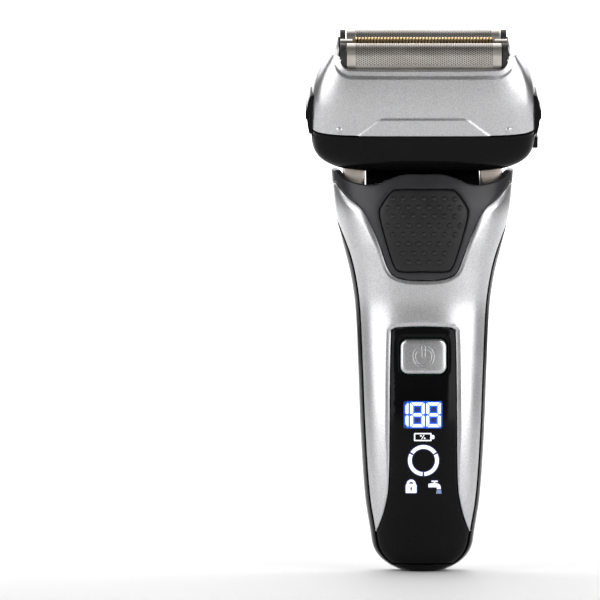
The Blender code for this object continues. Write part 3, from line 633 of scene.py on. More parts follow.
def arc(radius, start, end, centre, steps=40):
    """Points along an arc; angles in degrees from +X, anticlockwise."""
    angles = np.radians(np.linspace(start, end, steps))
    return [(centre[0] + radius * math.cos(a), centre[1] + radius * math.sin(a)) for a in angles]


def power_symbol():
    """Raised outlines of a ring with a gap and of the bar in the gap."""
    centre = (0.0, BUTTON_Z - 0.1)

    def ring(grow):
        return (arc(3.15 + grow, 113 - 3 * grow, 427 + 3 * grow, centre)
                + arc(2.4 - grow, 427 + 3 * grow, 113 - 3 * grow, centre))

    def bar(grow):
        return rounded(0.5 + grow, 1.75 + grow, 0.45 + grow, (0.0, BUTTON_Z + 1.45), 5)

    for name, shape in (("ring", ring), ("bar", bar)):
        sheet("power_symbol_" + name, HANDLE_FORM, HANDLE,
              [on_front(shape(0.13)), on_front(shape(-0.13))], 0.35, "power_button",
              "satin_silver", rise=0.64, edge=0.09, pitch=0.4)


def collar():
    """Shoulder all round the neck, with the V in front that holds the thumb grip."""
    front = offset_line(smooth(COLLAR_LINE), GAP / 2)
    front = on_front([(max(x, 0.0), z) for x, z in front if z < 115.2])
    back = [(2.0 - t, v) for t, v in reversed(front) if v > COLLAR_BACK + GAP]
    rim = on_front(smooth(RIM_LINE))
    # right half from the middle of the V, round the side to the back, and home along the rim
    low_path = front + back + [(2.0, COLLAR_BACK + GAP / 2)]
    high_path = rim + [(1.0, RIM_TIP)] + [(2.0 - t, v) for t, v in reversed(rim)]
    loop = ([(-t, v) for t, v in reversed(low_path)] + low_path[1:]
            + high_path[::-1] + [(-t, v) for t, v in high_path[1:]])
    hole = on_front(mirrored(offset_line(smooth(GRIP_LINE, 5), GAP / 2)))
    sheet("collar_satin", HANDLE_FORM, HANDLE, [loop, hole], WALL, "handle", "dark_satin", ["collar"],
          edge=0.5, pitch=1.0, seam=(-2.0, 2.0))


def thumb_grip():
    loop = on_front(mirrored(offset_line(smooth(GRIP_LINE, 5), -0.05)))
    sheet("thumb_grip_pad", HANDLE_FORM, HANDLE, [loop], 2.2, "handle", "rubber", ["thumb_grip"],
          rise=GRIP_RISE, edge=0.8, pitch=1.0)


GRIP_ROWS = ((109.5, 7), (107.0, 8), (104.5, 7), (101.8, 8), (99.2, 7), (96.5, 6), (93.7, 5), (91.1, 4))
DOT_PITCH = 3.02
DOT_RADIUS = 0.76
DOT_HEIGHT = 0.5


def grip_dots():
    points, faces = [], []
    for z, count in GRIP_ROWS:
        for k in range(count):
            t, v = HANDLE_FORM.front((k - (count - 1) / 2) * DOT_PITCH, z)
            centre = HANDLE_FORM.at(t, v)
            normal = HANDLE_FORM.normal(t, v)
            dome(points, faces, centre + normal * GRIP_RISE, normal, DOT_RADIUS, DOT_HEIGHT)
    piece("grip_dots", points, faces, HANDLE, "handle", "rubber")


def dome(points, faces, centre, normal, radius, height, sides=20, rings=5):
    """Adds a low dome, closed underneath, standing on a place along a normal."""
    across = np.cross(normal, (0.0, 0.0, 1.0))
    across /= np.linalg.norm(across)
    up = np.cross(across, normal)
    rows = []
    for k in range(rings + 1):
        turn = math.pi / 2 * k / rings
        reach, lift = radius * math.cos(turn), height * math.sin(turn)
        if k == rings:
            rows.append([len(points)] * sides)
            points.append(centre + normal * height)
            continue
        rows.append(list(range(len(points), len(points) + sides)))
        for n in range(sides):
            angle = 2 * math.pi * n / sides
            points.append(centre + (across * math.cos(angle) + up * math.sin(angle)) * reach
                          + normal * lift)
    foot = list(range(len(points), len(points) + sides))
    for n in range(sides):
        points.append(points[rows[0][n]] - normal * 0.3)
    rows.insert(0, foot)
    faces.append(tuple(reversed(foot)))
    for low, high in zip(rows, rows[1:]):
        for n in range(sides):
            m = (n + 1) % sides
            faces.append((low[n], low[m], high[m], high[n]))


def rear_shell():
    """Back of the handle, and the thin black line round the front covers."""
    top = COLLAR_BACK - GAP / 2
    collar_edge = on_front([(x, z) for x, z in offset_line(smooth(COLLAR_LINE), -GAP / 2)
                            if top < z < 114.9])
    over = [(2.0 - t, v) for t, v in reversed(collar_edge)]
    right = (side_line(WINDOW_FOOT, 114.6, -GAP / 2, 120) + [(1.006, float(over[0][1]))] + over
             + [(2.0, top)])
    low, foot = (float(HANDLE_FORM.row(z)) for z in (FOOT_CUT, WINDOW_FOOT))
    loop = ([(0.0, low), (0.0, foot)] + right + [(4.0 - t, v) for t, v in reversed(right[:-1])]
            + [(4.0, foot), (4.0, low)])
    back_middle = (TRIMMER_LOW + TRIMMER_HIGH) / 2
    hole = on_back(rounded(TRIMMER_HALF + GAP, (TRIMMER_HIGH - TRIMMER_LOW) / 2 + GAP + 0.25, 2.2,
                           (0.0, back_middle + 0.25)))
    sheet("rear_shell_gloss", HANDLE_FORM, HANDLE, [loop, hole], WALL - 0.1, "handle", "gloss_black",
          ["rear_shell"], edge=0.12, pitch=1.2, seam=(0.0, 4.0))
    outline = [tuple(p[:2]) for p in HANDLE_FORM.at(np.linspace(0, 4, 97)[:-1], FOOT_CUT)]
    plate("rear_shell_foot", outline, 0.0, WALL, "z", HANDLE, "handle", "gloss_black", 0.02,
          hole=rounded(4.5, 2.6, 1.2))


def on_back(outline):
    t, v = HANDLE_FORM.front(*np.array(outline).T)
    return list(zip((2.0 - t).tolist(), v.tolist()))


def trimmer():
    middle = (TRIMMER_LOW + TRIMMER_HIGH) / 2
    loop = on_back(rounded(TRIMMER_HALF, (TRIMMER_HIGH - TRIMMER_LOW) / 2, 2.0, (0.0, middle)))
    sheet("trimmer_cover", HANDLE_FORM, HANDLE, [loop], 1.6, "trimmer", "matt_black", edge=0.5,
          pitch=1.0)
    for k in range(4):
        rib = on_back(rounded(7.0, 0.45, 0.4, (0.0, 98.0 + 1.7 * k), 3))
        sheet("trimmer_rib_%d" % (k + 1), HANDLE_FORM, HANDLE, [rib], 0.6, "trimmer", "matt_black",
              rise=0.4, edge=0.35, pitch=0.8)


# ---------------------------------------------------------------- plates and bars

PLATE_AXES = {"x": Matrix(((0, 0, 1), (1, 0, 0), (0, 1, 0))),
              "y": Matrix(((1, 0, 0), (0, 0, -1), (0, 1, 0))), "z": Matrix.Identity(3)}


def plate(name, outline, low, high, axis, place, body, finish, edge=0.3, replaced=(), hole=None,
          segments=3, sharp=38.0):
    """Flat outline made solid along an axis, with rounded edges and perhaps one hole."""
    turn = PLATE_AXES[axis]
    if axis == "y":
        low, high = -high, -low
    loops = [outline] + ([hole] if hole else [])
    flat = [Vector(p) for loop in loops for p in loop]
    edges, offset = [], 0
    for loop in loops:
        edges += [(offset + k, offset + (k + 1) % len(loop)) for k in range(len(loop))]
        offset += len(loop)
    made = delaunay_2d_cdt(flat, edges, [], 0, 1e-7)
    corners = np.array([tuple(p) for p in made[0]])
    triangles = np.array([f for f in made[2] if len(f) == 3])
    keep = inside(corners[triangles].mean(axis=1), [np.array(loop) for loop in loops])
    bm = bmesh.new()
    top = [bm.verts.new(place @ (turn @ Vector((x, y, high)))) for x, y in corners]
    low_verts = [bm.verts.new(place @ (turn @ Vector((x, y, low)))) for x, y in corners]
    for a, b, c in triangles[keep]:
        bm.faces.new((top[a], top[b], top[c]))
        bm.faces.new((low_verts[c], low_verts[b], low_verts[a]))
    for a, b in [e for e in made[1] if len({*e}) == 2]:
        first, second = bm.edges.get((top[a], top[b])), bm.edges.get((low_verts[a], low_verts[b]))
        if first and second and len(first.link_faces) == 1:
            bm.faces.new((top[a], low_verts[a], low_verts[b], top[b]))
    for vert in [v for v in bm.verts if not v.link_faces]:
        bm.verts.remove(vert)
    item = from_bmesh(name, bm, body, finish, replaced, sharp)
    soften(item, edge, segments)
    return item


def soften(item, edge, segments=3, angle=35.0):
    change = item.modifiers.new("soft_edges", "BEVEL")
    change.width = edge * MM
    change.segments = segments
    change.limit_method = "ANGLE"
    change.angle_limit = math.radians(angle)
    change.harden_normals = False
    return apply_modifiers(item)


def arch(radius, centre, foot, y=0.0, steps=24):
    points = [(y + radius, foot)]
    for k in range(steps + 1):
        angle = math.pi * k / steps
        points.append((y + radius * math.cos(angle), centre + radius * math.sin(angle)))
    return points + [(y - radius, foot)]


# ---------------------------------------------------------------- neck

DECK_TOP = 111.4
ARM = (17.1, 23.6)
ARM_HALF = 3.4
NECK_PROFILE = [(-7.5, DECK_TOP + GAP), (7.5, DECK_TOP + GAP), (7.5, 119.6), (6.4, 121.0),
                (5.0, 121.2), (0.0, 119.1), (-6.6, 114.9), (-7.5, 113.6)]


def neck():
    half = ARM[0] - GAP
    plate("neck_block_gloss", [(y + PIVOT_Y, z) for y, z in NECK_PROFILE], -half, half, "x", HANDLE,
          "handle", "gloss_black", 0.5, ["neck_block"])
    for name, side in (("left", -1), ("right", 1)):
        low, high = side_span(*ARM, side)
        outline = arch(ARM_HALF, PIVOT[2] / MM, DECK_TOP + GAP, PIVOT_Y)
        plate("neck_plate_" + name, outline, low, high, "x", HANDLE, "handle", "neck_metal", 0.5,
              ["neck_arm_" + name], hole=[(y + PIVOT_Y, z + PIVOT[2] / MM) for y, z in
                                          rounded(1.8, 1.8, 1.79, steps=6)])


# ---------------------------------------------------------------- head shells

def skin(rings, reverse=False):
    """Faces between neighbouring rings, closed into a loop; reverse turns them over."""
    faces = []
    for a, b in zip(rings, rings[1:] + rings[:1]):
        for k in range(len(a)):
            n = (k + 1) % len(a)
            faces.append((a[k], a[n], b[n], b[k]) if reverse else (a[k], b[k], b[n], a[n]))
    return faces


def side_span(inner, outer, side):
    """x range between two distances from the middle, on the side with the given sign."""
    return sorted((side * inner, side * outer))


SCOOP = (24.5, 3.0)                              # half width and corner radius of the window's lip
BAND = 2.1                                       # width of the band round the window
BAND_STEP = 0.24
CREST = 0.45                                     # radius of the rounding along the top edge
CAVITY = 9.0                                     # height where the inside wall's steps meet
BUTTON_X = (29.0, 40.0)                          # reach of the cuts for the release buttons
BUTTON_Y = (-8.5, 0.5)


def rim_height(x):
    """Height of the foil frame's top edge: the lip in the middle, the ears at the ends."""
    x = abs(x)
    half, corner = SCOOP
    start = half - corner
    if x < start:
        return LIP
    if x < half:
        return LIP + corner - math.sqrt(max(corner ** 2 - (x - start) ** 2, 0.0))
    return EAR


def button_room(side, low, high):
    """Tool that clears a release button's place."""
    a, b = side_span(*BUTTON_X, side)
    return box((a, BUTTON_Y[0], low), (b, BUTTON_Y[1], high), HEAD)


def foil_frame():
    points, rings = [], []
    for t in np.linspace(-2.0, 2.0, 720, endpoint=False):
        share = HEAD_FORM.at(t, SEAM)[0] / HEAD_STATIONS[0][1]
        height = LIP
        for _ in range(14):
            width = float(head_sizes(np.array(SEAM + height))[0])
            height = 0.5 * height + 0.5 * rim_height(share * width)
        heights = np.concatenate(([0.15, 0.25], np.linspace(0.5, height - CREST, 56)))
        outer = HEAD_FORM.at(np.full(len(heights), t), SEAM + heights)
        normal = HEAD_FORM.normal(np.full(len(heights), t), SEAM + heights)
        outer = outer + normal * (front_relief(outer) - window_band(outer))[:, None]
        outer[0] -= normal[0] * 0.15
        round_off = [outer[-1] - normal[-1] * (CREST * (1 - math.cos(a))) + (0, 0, CREST * math.sin(a))
                     for a in np.radians((25, 50, 75, 90))]
        crest = round_off[-1]
        hole = np.array([np.clip(crest[0], -OPENING[0], OPENING[0]),
                         np.clip(crest[1], -OPENING[1], OPENING[1]), crest[2]])
        ring = [*outer, *round_off, crest + (hole - crest) * 0.75, hole - (0, 0, 0.25)]
        deep = np.array((hole[0], hole[1], SEAM + CAVITY))
        floor = HEAD_FORM.at(t, SEAM + CAVITY) * (0.93, 0.86, 1.0)
        foot = HEAD_FORM.at(t, SEAM + 0.15) * (0.94, 0.86, 1.0)
        ring += [deep, floor, foot]
        start = len(points)
        points += ring
        rings.append(range(start, start + len(ring)))
    item = piece("foil_frame_satin", points, skin(rings), HEAD, "foil_frame", "satin_silver",
                 ["foil_frame"], sharp=40.0)
    cut(item, [button_room(side, SEAM - 3.0, SEAM + 10.6) for side in (-1, 1)])


def window_band(outer):
    """How far the surface sinks in the band that follows the window's lip."""
    across = np.abs(outer[:, 0]) - (SCOOP[0] - SCOOP[1])
    down = SEAM + LIP + SCOOP[1] - outer[:, 2]
    away = (np.hypot(np.maximum(across, 0), np.maximum(down, 0))
            + np.minimum(np.maximum(across, down), 0) - SCOOP[1])
    facing = smoothstep(6.0, 9.5, np.abs(outer[:, 1]))
    return BAND_STEP * facing * smoothstep(BAND + 0.3, BAND - 0.3, away)


def dimples():
    """Small domes low on the front of the foil frame."""
    points, faces = [], []
    for x in (-24.9, 24.9):
        t, v = HEAD_FORM.front(x, SEAM + 1.6)
        dome(points, faces, HEAD_FORM.at(t, v), HEAD_FORM.normal(t, v), 1.0, 0.35)
    piece("foil_frame_domes", points, faces, HEAD, "foil_frame", "satin_silver")


def front_relief(outer):
    """Shallow raised field at the foot of the front face."""
    x, y, height = np.abs(outer[:, 0]), outer[:, 1], outer[:, 2] - SEAM
    edge = 13.0 + (5.0 - height) * 1.3
    field = smoothstep(0.9, -0.9, x - edge) * smoothstep(5.9, 4.7, height)
    return np.where(y < -9.0, 0.35 * field, 0.0)


def head_base():
    heights = np.concatenate(([-0.35], np.linspace(-0.8, -10.0, 26), np.linspace(-10.4, -13.2, 12)))
    points, rings = [], []
    for t in np.linspace(-2.0, 2.0, 300, endpoint=False):
        outer = HEAD_FORM.at(np.full(len(heights), t), SEAM + heights)
        normal = HEAD_FORM.normal(np.full(len(heights), t), SEAM + heights)
        groove = np.exp(-((heights + 1.3) / 0.16) ** 2) * 0.18
        outer = outer - normal * groove[:, None]
        rim = HEAD_FORM.at(t, SEAM - 0.15)
        bottom = outer[-1]
        inner = [HEAD_FORM.at(t, SEAM + h) for h in (-11.4, -10.0, -7.5, -5.0, -2.5, -0.6, -0.15)]
        inner = [p - HEAD_FORM.normal(t, p[2]) * (WALL if k else 0.0) for k, p in enumerate(inner)]
        inner[0] = inner[1] * (0.9, 0.88, 0.0) + (0, 0, SEAM - 11.4)
        ring = [rim * (0.975, 0.965, 1.0), rim * (0.994, 0.988, 1.0), *outer,
                bottom * (0.8, 0.8, 0) + (0, 0, SEAM - 13.3),
                bottom * (0.0, 0.0, 0) + (0, 0, SEAM - 13.3), np.array((0, 0, SEAM - 11.4)),
                inner[0] * (0.5, 0.5, 1.0), *inner]
        start = len(points)
        points += ring
        rings.append(range(start, start + len(ring)))
    item = piece("head_base_gloss", points, skin(rings, reverse=True), HEAD, "head",
                 "gloss_black", ["head_base"], sharp=45.0)
    tools = [box((-16.0, -6.0, -8.0), (16.0, 6.0, 0.0), HEAD)]
    for side in (-1, 1):
        a, b = side_span(ARM[0] - 0.5, ARM[1] + 0.5, side)
        tools.append(box((a, -8.3, -8.0), (b, 4.9, 0.0), HEAD))
        tools.append(button_room(side, SEAM - 2.0, SEAM + 5.0))
    tools.append(box((BUTTON_X[0], -6.3, SEAM - 7.4), (BUTTON_X[1], 0.3, SEAM - 3.3), HEAD))
    cut(item, tools)


def release_buttons():
    """Side buttons with a raised ridge across the middle."""
    profile = [(31.0, -1.7), (33.6, -1.7), (34.1, 0.8), (34.25, 2.6), (34.7, 3.1), (34.7, 5.6),
               (34.25, 6.1), (34.05, 8.0), (33.3, 10.3), (31.0, 10.3)]
    for name, side in (("left", -1), ("right", 1)):
        outline = [(side * x, SEAM + z) for x, z in profile]
        plate("release_button_%s_grip" % name, outline, -8.2, 0.2, "y", HEAD, "release_" + name,
              "gloss_black", 0.55, ["release_button_" + name], segments=4)


def lock_lever():
    outline = rounded(2.0, 1.75, 0.6, (-4.0, SEAM - 5.35), 4)
    plate("head_lock_lever_tab", outline, 31.0, 33.9, "x", HEAD, "head_lock", "gloss_black", 0.4,
          ["head_lock_lever"])


# ---------------------------------------------------------------- foils and comb

HOLE_PITCH = 0.62
HOLE_RADIUS = 0.2
HOLE_SIDES = 8
FIELD_HALF = 20.9                                # half length of the perforated field
FOIL_THICK = 0.1
MARGIN_THICK = 0.16
MARGIN_RISE = 0.03


def arch_point(y, radius, centre, s):
    """Place and outward normal on an arch at arc length s from its top, in the head's frame."""
    quarter = radius * math.pi / 2
    if abs(s) <= quarter:
        angle = s / radius
        return (y + radius * math.sin(angle), centre + radius * math.cos(angle),
                math.sin(angle), math.cos(angle))
    side = math.copysign(1.0, s)
    return y + side * radius, centre - (abs(s) - quarter), side, 0.0


def foil(name, y, body):
    """Foil with round holes in staggered columns, rolled over its arch."""
    centre, thick = SEAM + FOIL_CENTRE, FOIL_THICK
    quarter = FOIL_RADIUS * math.pi / 2
    reach = quarter + FOIL_CENTRE - FOIL_FOOT
    column_step = HOLE_PITCH * math.sqrt(3) / 2
    columns = int(FIELD_HALF / column_step)
    rows = int((quarter + 2.6) / HOLE_PITCH)
    bm = bmesh.new()
    known = {}

    def vertex(x, s, depth):
        key = (round(x, 3), round(s, 3), depth)
        if key not in known:
            a, z, na, nz = arch_point(y, FOIL_RADIUS, centre, s)
            known[key] = bm.verts.new(HEAD @ Vector((x, a - na * depth, z - nz * depth)))
        return known[key]

    half, third = HOLE_PITCH / 2, column_step / 3
    turns = [math.radians(360 / HOLE_SIDES * k) for k in range(HOLE_SIDES)]
    hexagon = [(2 * third, 0.0), (third, half), (0.0, half), (-third, half), (-2 * third, 0.0),
               (-third, -half), (0.0, -half), (third, -half)]
    for column in range(-columns, columns + 1):
        shift = half if column % 2 else 0.0
        for row in range(-rows, rows + (0 if column % 2 else 1)):
            cx, cs = column * column_step, row * HOLE_PITCH + shift
            rim = [(cx + a, cs + b) for a, b in hexagon]
            hole = [(cx + HOLE_RADIUS * math.cos(a), cs + HOLE_RADIUS * math.sin(a)) for a in turns]
            for k in range(HOLE_SIDES):
                n = (k + 1) % HOLE_SIDES
                corners = (rim[k], rim[n], hole[n], hole[k])
                bm.faces.new([vertex(*corner, 0) for corner in corners])
                bm.faces.new([vertex(*corner, thick) for corner in reversed(corners)])
                bm.faces.new((vertex(*hole[k], 0), vertex(*hole[n], 0), vertex(*hole[n], thick),
                              vertex(*hole[k], thick)))
    places = {vert: key for key, vert in known.items()}
    for edge in [edge for edge in bm.edges if len(edge.link_faces) == 1]:
        (xa, sa, depth), (xb, sb, _) = (places[vert] for vert in edge.verts)
        if depth == 0:
            bm.faces.new((*edge.verts, known[(xb, sb, thick)], known[(xa, sa, thick)]))
    from_bmesh("foil_%s_mesh" % name, bm, body, "foil_nickel", ["foil_" + name], sharp=60.0)
    foil_margin(name, y, body, centre, columns * column_step, (rows + 0.4) * HOLE_PITCH, reach)


def foil_margin(name, y, body, centre, edge_x, edge_s, reach):
    """Plain metal round the perforated field."""
    steps = 40
    for part, side in (("left", -1), ("right", 1)):
        points, faces = [], []
        low, high = side_span(edge_x - 0.35, FOIL_HALF, side)
        s_values = np.linspace(-reach, reach, steps)
        strip(points, faces, y, centre, [(low, high)] * steps, s_values, MARGIN_THICK, MARGIN_RISE)
        piece("foil_%s_end_%s" % (name, part), points, faces, HEAD, body, "foil_nickel")
    for part, side in (("front", -1), ("rear", 1)):
        points, faces = [], []
        s_values = np.linspace(side * (edge_s - 0.3), side * reach, 12)
        strip(points, faces, y, centre, [(-FOIL_HALF, FOIL_HALF)] * 12, s_values, MARGIN_THICK, MARGIN_RISE)
        piece("foil_%s_skirt_%s" % (name, part), points, faces, HEAD, body, "foil_nickel")


def strip(points, faces, y, centre, spans, s_values, thick, rise=0.0, radius=FOIL_RADIUS):
    """Adds a closed band over the arch, between two x values at each arc length."""
    start = len(points)
    for (low, high), s in zip(spans, s_values):
        a, z, na, nz = arch_point(y, radius, centre, s)
        for x, depth in ((low, -rise), (high, -rise), (high, thick), (low, thick)):
            points.append((x, a - na * depth, z - nz * depth))
    count = len(s_values)
    for k in range(count - 1):
        i = start + 4 * k
        for n in range(4):
            m = (n + 1) % 4
            faces.append((i + n, i + m, i + 4 + m, i + 4 + n))
    faces.append(tuple(start + n for n in range(4)))
    faces.append(tuple(start + 4 * (count - 1) + n for n in (3, 2, 1, 0)))


def foils():
    for name, y in (("front", -FOIL_SPACING), ("rear", FOIL_SPACING)):
        foil(name, y, "foil_" + name)
        for side_name, side in (("left", -1), ("right", 1)):
            low, high = side_span(FOIL_HALF + GAP, END_CAP, side)
            plate("foil_end_%s_%s" % (name, side_name),
                  arch(FOIL_RADIUS, SEAM + FOIL_CENTRE, SEAM + CAP_FOOT, y), low, high, "x", HEAD,
                  "foil_" + name, "matt_black", 0.5, ["foil_cap_%s_%s" % (name, side_name)])


COMB_PITCH = 0.94
COMB_TOOTH = 0.5


def comb():
    """Gold comb with slanting teeth over the arch and a rail along each side."""
    centre = SEAM + COMB_CENTRE
    quarter = COMB_RADIUS * math.pi / 2
    reach = quarter + COMB_CENTRE - FOIL_FOOT
    teeth = int(2 * COMB_HALF / COMB_PITCH)
    points, faces = [], []
    s_values = np.linspace(-quarter - 0.4, quarter + 0.4, 17)
    for k in range(teeth):
        x = (k - (teeth - 1) / 2) * COMB_PITCH
        spans = [(x - COMB_TOOTH / 2 + s * 0.12, x + COMB_TOOTH / 2 + s * 0.12) for s in s_values]
        strip(points, faces, 0.0, centre, spans, s_values, 0.3, 0.0, COMB_RADIUS)
    for side in (-1, 1):
        s_rail = np.linspace(side * (quarter + 0.1), side * reach, 8)
        strip(points, faces, 0.0, centre, [(-COMB_HALF, COMB_HALF)] * 8, s_rail, 0.35, 0.03, COMB_RADIUS)
    piece("comb_guard_teeth", points, faces, HEAD, "comb", "gold", ["comb_guard"], sharp=50.0)
    for name, side in (("left", -1), ("right", 1)):
        low, high = side_span(COMB_HALF + GAP, END_CAP, side)
        plate("comb_end_" + name, arch(COMB_RADIUS, centre - 0.5, SEAM + CAP_FOOT), low, high, "x", HEAD,
              "comb", "nickel", 0.35, ["comb_holder_" + name])


# ---------------------------------------------------------------- display symbols

DIGIT_LOW, DIGIT_HIGH = 42.6, 49.9
STROKE = 0.92
NICK = 0.14                                      # gap between neighbouring segments
GLOW = 0.4                                       # how far the blue glow reaches round a sign


def segments(left, right, lit_bars):
    """Outlines of the lit segments of a seven-segment digit."""
    low, high, middle = DIGIT_LOW, DIGIT_HIGH, (DIGIT_LOW + DIGIT_HIGH) / 2
    half = STROKE / 2
    outlines = []
    for letter, z, inner in (("a", high, high - STROKE), ("d", low, low + STROKE)):
        if letter in lit_bars:
            outlines.append([(left + NICK + 0.25, z), (right - NICK - 0.25, z),
                             (right - STROKE - NICK, inner), (left + STROKE + NICK, inner)])
    if "g" in lit_bars:
        a, b = left + half + 0.2, right - half - 0.2
        outlines.append([(a, middle), (a + half, middle + half), (b - half, middle + half),
                         (b, middle), (b - half, middle - half), (a + half, middle - half)])
    for letter, x, sign in (("f", left, 1), ("b", right, -1), ("e", left, 1), ("c", right, -1)):
        if letter in lit_bars:
            up = 1 if letter in "fb" else -1
            end = high if up > 0 else low
            outlines.append([(x, end - up * 0.35), (x + sign * 0.2, end - up * NICK),
                             (x + sign * STROKE, end - up * (STROKE + NICK * 0.6)),
                             (x + sign * STROKE, middle + up * (half + NICK)),
                             (x + sign * half, middle + up * NICK), (x, middle + up * (NICK + 0.25))])
    return outlines


def decal(name, shapes, finish="digit_white", rise=-0.06):
    """Thin lit shapes on the display window, joined as one piece.

    A shape is one outline, or a list of an outline and its holes.
    """
    points, faces = [], []
    for shape in shapes:
        loops = shape if isinstance(shape[0], list) else [shape]
        made, sides = sheet_mesh(HANDLE_FORM, [on_front(loop) for loop in loops], 0.14, rise=rise,
                                 edge=0.02, pitch=0.9)
        start = len(points)
        points += made
        faces += [tuple(start + i for i in side) for side in sides]
    return piece(name, points, faces, HANDLE, "handle", finish)


def grown(outline, distance):
    """Closed outline moved outwards, with round corners."""
    points = np.array(outline)
    following = np.roll(points, -1, axis=0)
    turn = np.sign(np.sum(points[:, 0] * following[:, 1] - following[:, 0] * points[:, 1]))
    ring = []
    for before, here, after in zip(np.roll(points, 1, axis=0), points, following):
        sides = []
        for a, b in ((before, here), (here, after)):
            along = (b - a) / max(np.hypot(*(b - a)), 1e-9)
            sides.append(np.array((along[1], -along[0])) * turn)
        if np.dot(sides[0], sides[1]) < -0.999:
            sides[1] = sides[0]
        bisector = sides[0] + sides[1]
        bisector /= np.hypot(*bisector)
        reach = distance / max(np.dot(bisector, sides[0]), 0.6)
        ring.append(tuple(here + bisector * reach))
    return ring


def ring_arcs(radius_in, radius_out, centre, gaps, half_gap):
    """Ring cut by gaps at the given angles."""
    arcs = []
    for a, b in zip(gaps, gaps[1:] + [gaps[0] + 360]):
        arcs.append(arc(radius_out, a + half_gap, b - half_gap, centre, 24)
                    + arc(radius_in, b - half_gap, a + half_gap, centre, 24))
    return arcs


def lock_sign(centre):
    """Closed padlock with its keyhole."""
    x, z = centre
    body = ([(x - 1.6, z - 1.1), (x - 1.4, z - 1.3), (x + 1.4, z - 1.3), (x + 1.6, z - 1.1),
             (x + 1.6, z + 1.0)] + arc(1.33, 0, 180, (x, z + 1.35), 14) + [(x - 1.6, z + 1.0)])
    bow = arc(0.7, 10, 170, (x, z + 1.3), 10)
    keyhole = arc(0.3, -50, 230, (x, z + 0.15), 10) + [(x - 0.15, z - 0.7), (x + 0.15, z - 0.7)]
    return [body, bow, keyhole]


def tap_sign(corner):
    """Water tap seen from the side, with falling water."""
    x, z = corner
    body = ([(x, z), (x, z + 1.0), (x + 0.8, z + 1.15), (x + 1.55, z + 1.15), (x + 1.55, z + 1.55),
             (x + 0.9, z + 1.55), (x + 0.9, z + 1.95), (x + 2.7, z + 1.95), (x + 2.7, z + 1.55),
             (x + 2.0, z + 1.55), (x + 2.0, z + 1.15)]
            + arc(1.25, 80, 0, (x + 2.35, z - 0.1), 8) + [(x + 3.6, z - 0.55), (x + 2.5, z - 0.55),
                                                        (x + 2.45, z)])
    drops = [[(x + 2.3 + 0.42 * k, z - 1.9), (x + 2.5 + 0.34 * k, z - 0.8),
              (x + 2.7 + 0.34 * k, z - 0.8), (x + 2.55 + 0.42 * k, z - 1.9)] for k in range(4)]
    return body, drops


def symbols():
    digits = (segments(-6.3, -4.4, "bc") + segments(-3.95, 0.35, "abcdefg")
              + segments(0.8, 5.1, "abcdefg"))
    battery = [[rounded(2.6, 1.2, 0.3, (-0.2, 39.7), 3), rounded(2.22, 0.84, 0.1, (-0.2, 39.7), 3)],
               [(2.5, 40.3), (3.0, 40.3), (3.2, 40.1), (3.2, 39.3), (3.0, 39.1), (2.5, 39.1)],
               rounded(0.24, 0.24, 0.2, (-0.75, 40.05), 3), rounded(0.24, 0.24, 0.2, (0.35, 39.35), 3),
               [(-0.7, 39.05), (-0.45, 39.05), (0.3, 40.35), (0.05, 40.35)]]
    ring = ring_arcs(3.45, 4.55, (0.0, 32.8), [30, 150, 270], 3.6)
    lock = lock_sign((-3.6, 24.5))
    tap, water = tap_sign((1.5, 24.9))
    decal("display_digits", digits)
    decal("display_battery_sign", battery)
    decal("display_ring", ring)
    decal("display_lock_sign", [lock])
    decal("display_tap_sign", [tap])
    decal("display_water_sign", water, "digit_pale")
    decal("display_digit_glow", [grown(outline, GLOW) for outline in digits], "digit_blue", -0.09)
    decal("display_digit_haze", [rounded(0.95, 4.0, 0.5, (-4.95, 46.25)),
                                 rounded(2.5, 4.0, 0.6, (-1.8, 46.25)),
                                 rounded(2.5, 4.0, 0.6, (2.95, 46.25))], "digit_haze", -0.115)
    halos = [grown(outline, 0.24) for outline in ring] + [grown(lock[0], 0.24), grown(tap, 0.2)]
    decal("display_sign_glow", halos, "digit_haze", -0.1)


# ---------------------------------------------------------------- studio

FLOOR_DROP = -0.0002                             # keeps the floor clear of the foot
MIDDLE = (0.0, 0.0, 0.085)
CAMERA_PLACE = (-0.0363, -1.386 + CENTRE_Y * MM, 0.08)


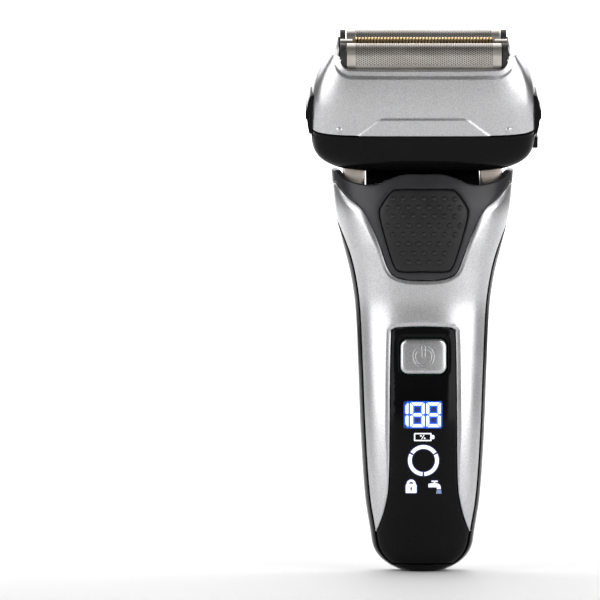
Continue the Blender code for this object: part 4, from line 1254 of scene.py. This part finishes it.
def studio():
    floor = bpy.data.meshes.new("floor")
    floor.from_pydata([(-4, -4, 0), (4, -4, 0), (4, 4, 0), (-4, 4, 0)], [], [(0, 1, 2, 3)])
    ground = added("floor", floor)
    ground.location.z = FLOOR_DROP
    pale = shader("floor_pale", (0.9, 0.9, 0.9), 0.6, specular=0.1)
    vary_colour(pale, object_noise(pale, 3.0), stops((0.89, 0.89, 0.89), (0.91, 0.91, 0.91)))
    floor.materials.append(pale)
    wall = bpy.data.meshes.new("backdrop")
    wall.from_pydata([(-0.8, 1.6, -0.1), (0.8, 1.6, -0.1), (0.8, 1.6, 1.2), (-0.8, 1.6, 1.2)], [],
                     [(0, 1, 2, 3)])
    drop = added("backdrop", wall)
    white = shader("backdrop_white", (0.9, 0.9, 0.9), 0.8)
    white.node_tree.nodes["Principled BSDF"].inputs["Emission Color"].default_value = (1, 1, 1, 1)
    white.node_tree.nodes["Principled BSDF"].inputs["Emission Strength"].default_value = 1.0
    wall.materials.append(white)
    world = bpy.data.worlds.new("studio")
    world.use_nodes = True
    world.node_tree.nodes["Background"].inputs["Color"].default_value = (1, 1, 1, 1)
    world.node_tree.nodes["Background"].inputs["Strength"].default_value = 0.1
    bpy.context.scene.world = world


def softbox(name, place, target, width, height, radiance):
    """Area light at a place in metres, turned to its target; radiance is its surface brightness."""
    light = bpy.data.lights.new(name, "AREA")
    light.shape = "RECTANGLE"
    light.size = width
    light.size_y = height
    light.energy = radiance * math.pi * width * height
    item = added(name, light)
    item.location = place
    item.visible_camera = False
    item.rotation_euler = (Vector(target) - item.location).to_track_quat("-Z", "Y").to_euler()


def lights():
    softbox("softbox_left", (-0.7, -0.56, 0.24), MIDDLE, 0.8, 0.9, 2.5)
    softbox("softbox_right", (0.66, -0.61, 0.24), MIDDLE, 0.86, 0.9, 2.8)
    softbox("softbox_top", (0.0, 0.25, 0.95), MIDDLE, 0.8, 0.5, 1.1)
    softbox("floor_wash", (0.0, 0.85, 0.6), (0.0, 0.85, 0.0), 2.6, 1.1, 2.0)


def camera():
    """Long lens level with the middle of the shaver, which stands right of the picture's middle."""
    lens = bpy.data.cameras.new("camera")
    lens.lens = 280.0
    lens.sensor_width = 36.0
    lens.clip_end = 10.0
    item = added("camera", lens)
    item.location = CAMERA_PLACE
    item.rotation_euler = (math.pi / 2, 0.0, 0.0)
    bpy.context.scene.camera = item


BLADES = ("inner_cutter_front", "inner_cutter_rear", "comb_blade")


def finish_cad_nodes():
    """Every CAD node that still shows takes its slot's procedural finish."""
    slots = {entry["node"]: entry["material_slot"] for entry in frame["record"]["subparts"]}
    for name, node in frame["nodes"].items():
        node.data.materials.clear()
        node.data.materials.append(FINISHES["blade_steel" if name in BLADES else slots[name]])


PIECES = (front_frame, display_window, power_button, power_symbol, collar, thumb_grip, grip_dots,
          rear_shell, trimmer, neck, foil_frame, dimples, head_base, release_buttons, lock_lever,
          foils, comb, symbols)


def build():
    bpy.context.scene.view_settings.view_transform = "Standard"
    camera()
    studio()
    lights()
    finish_cad_nodes()
    for make in PIECES:
        make()


build()
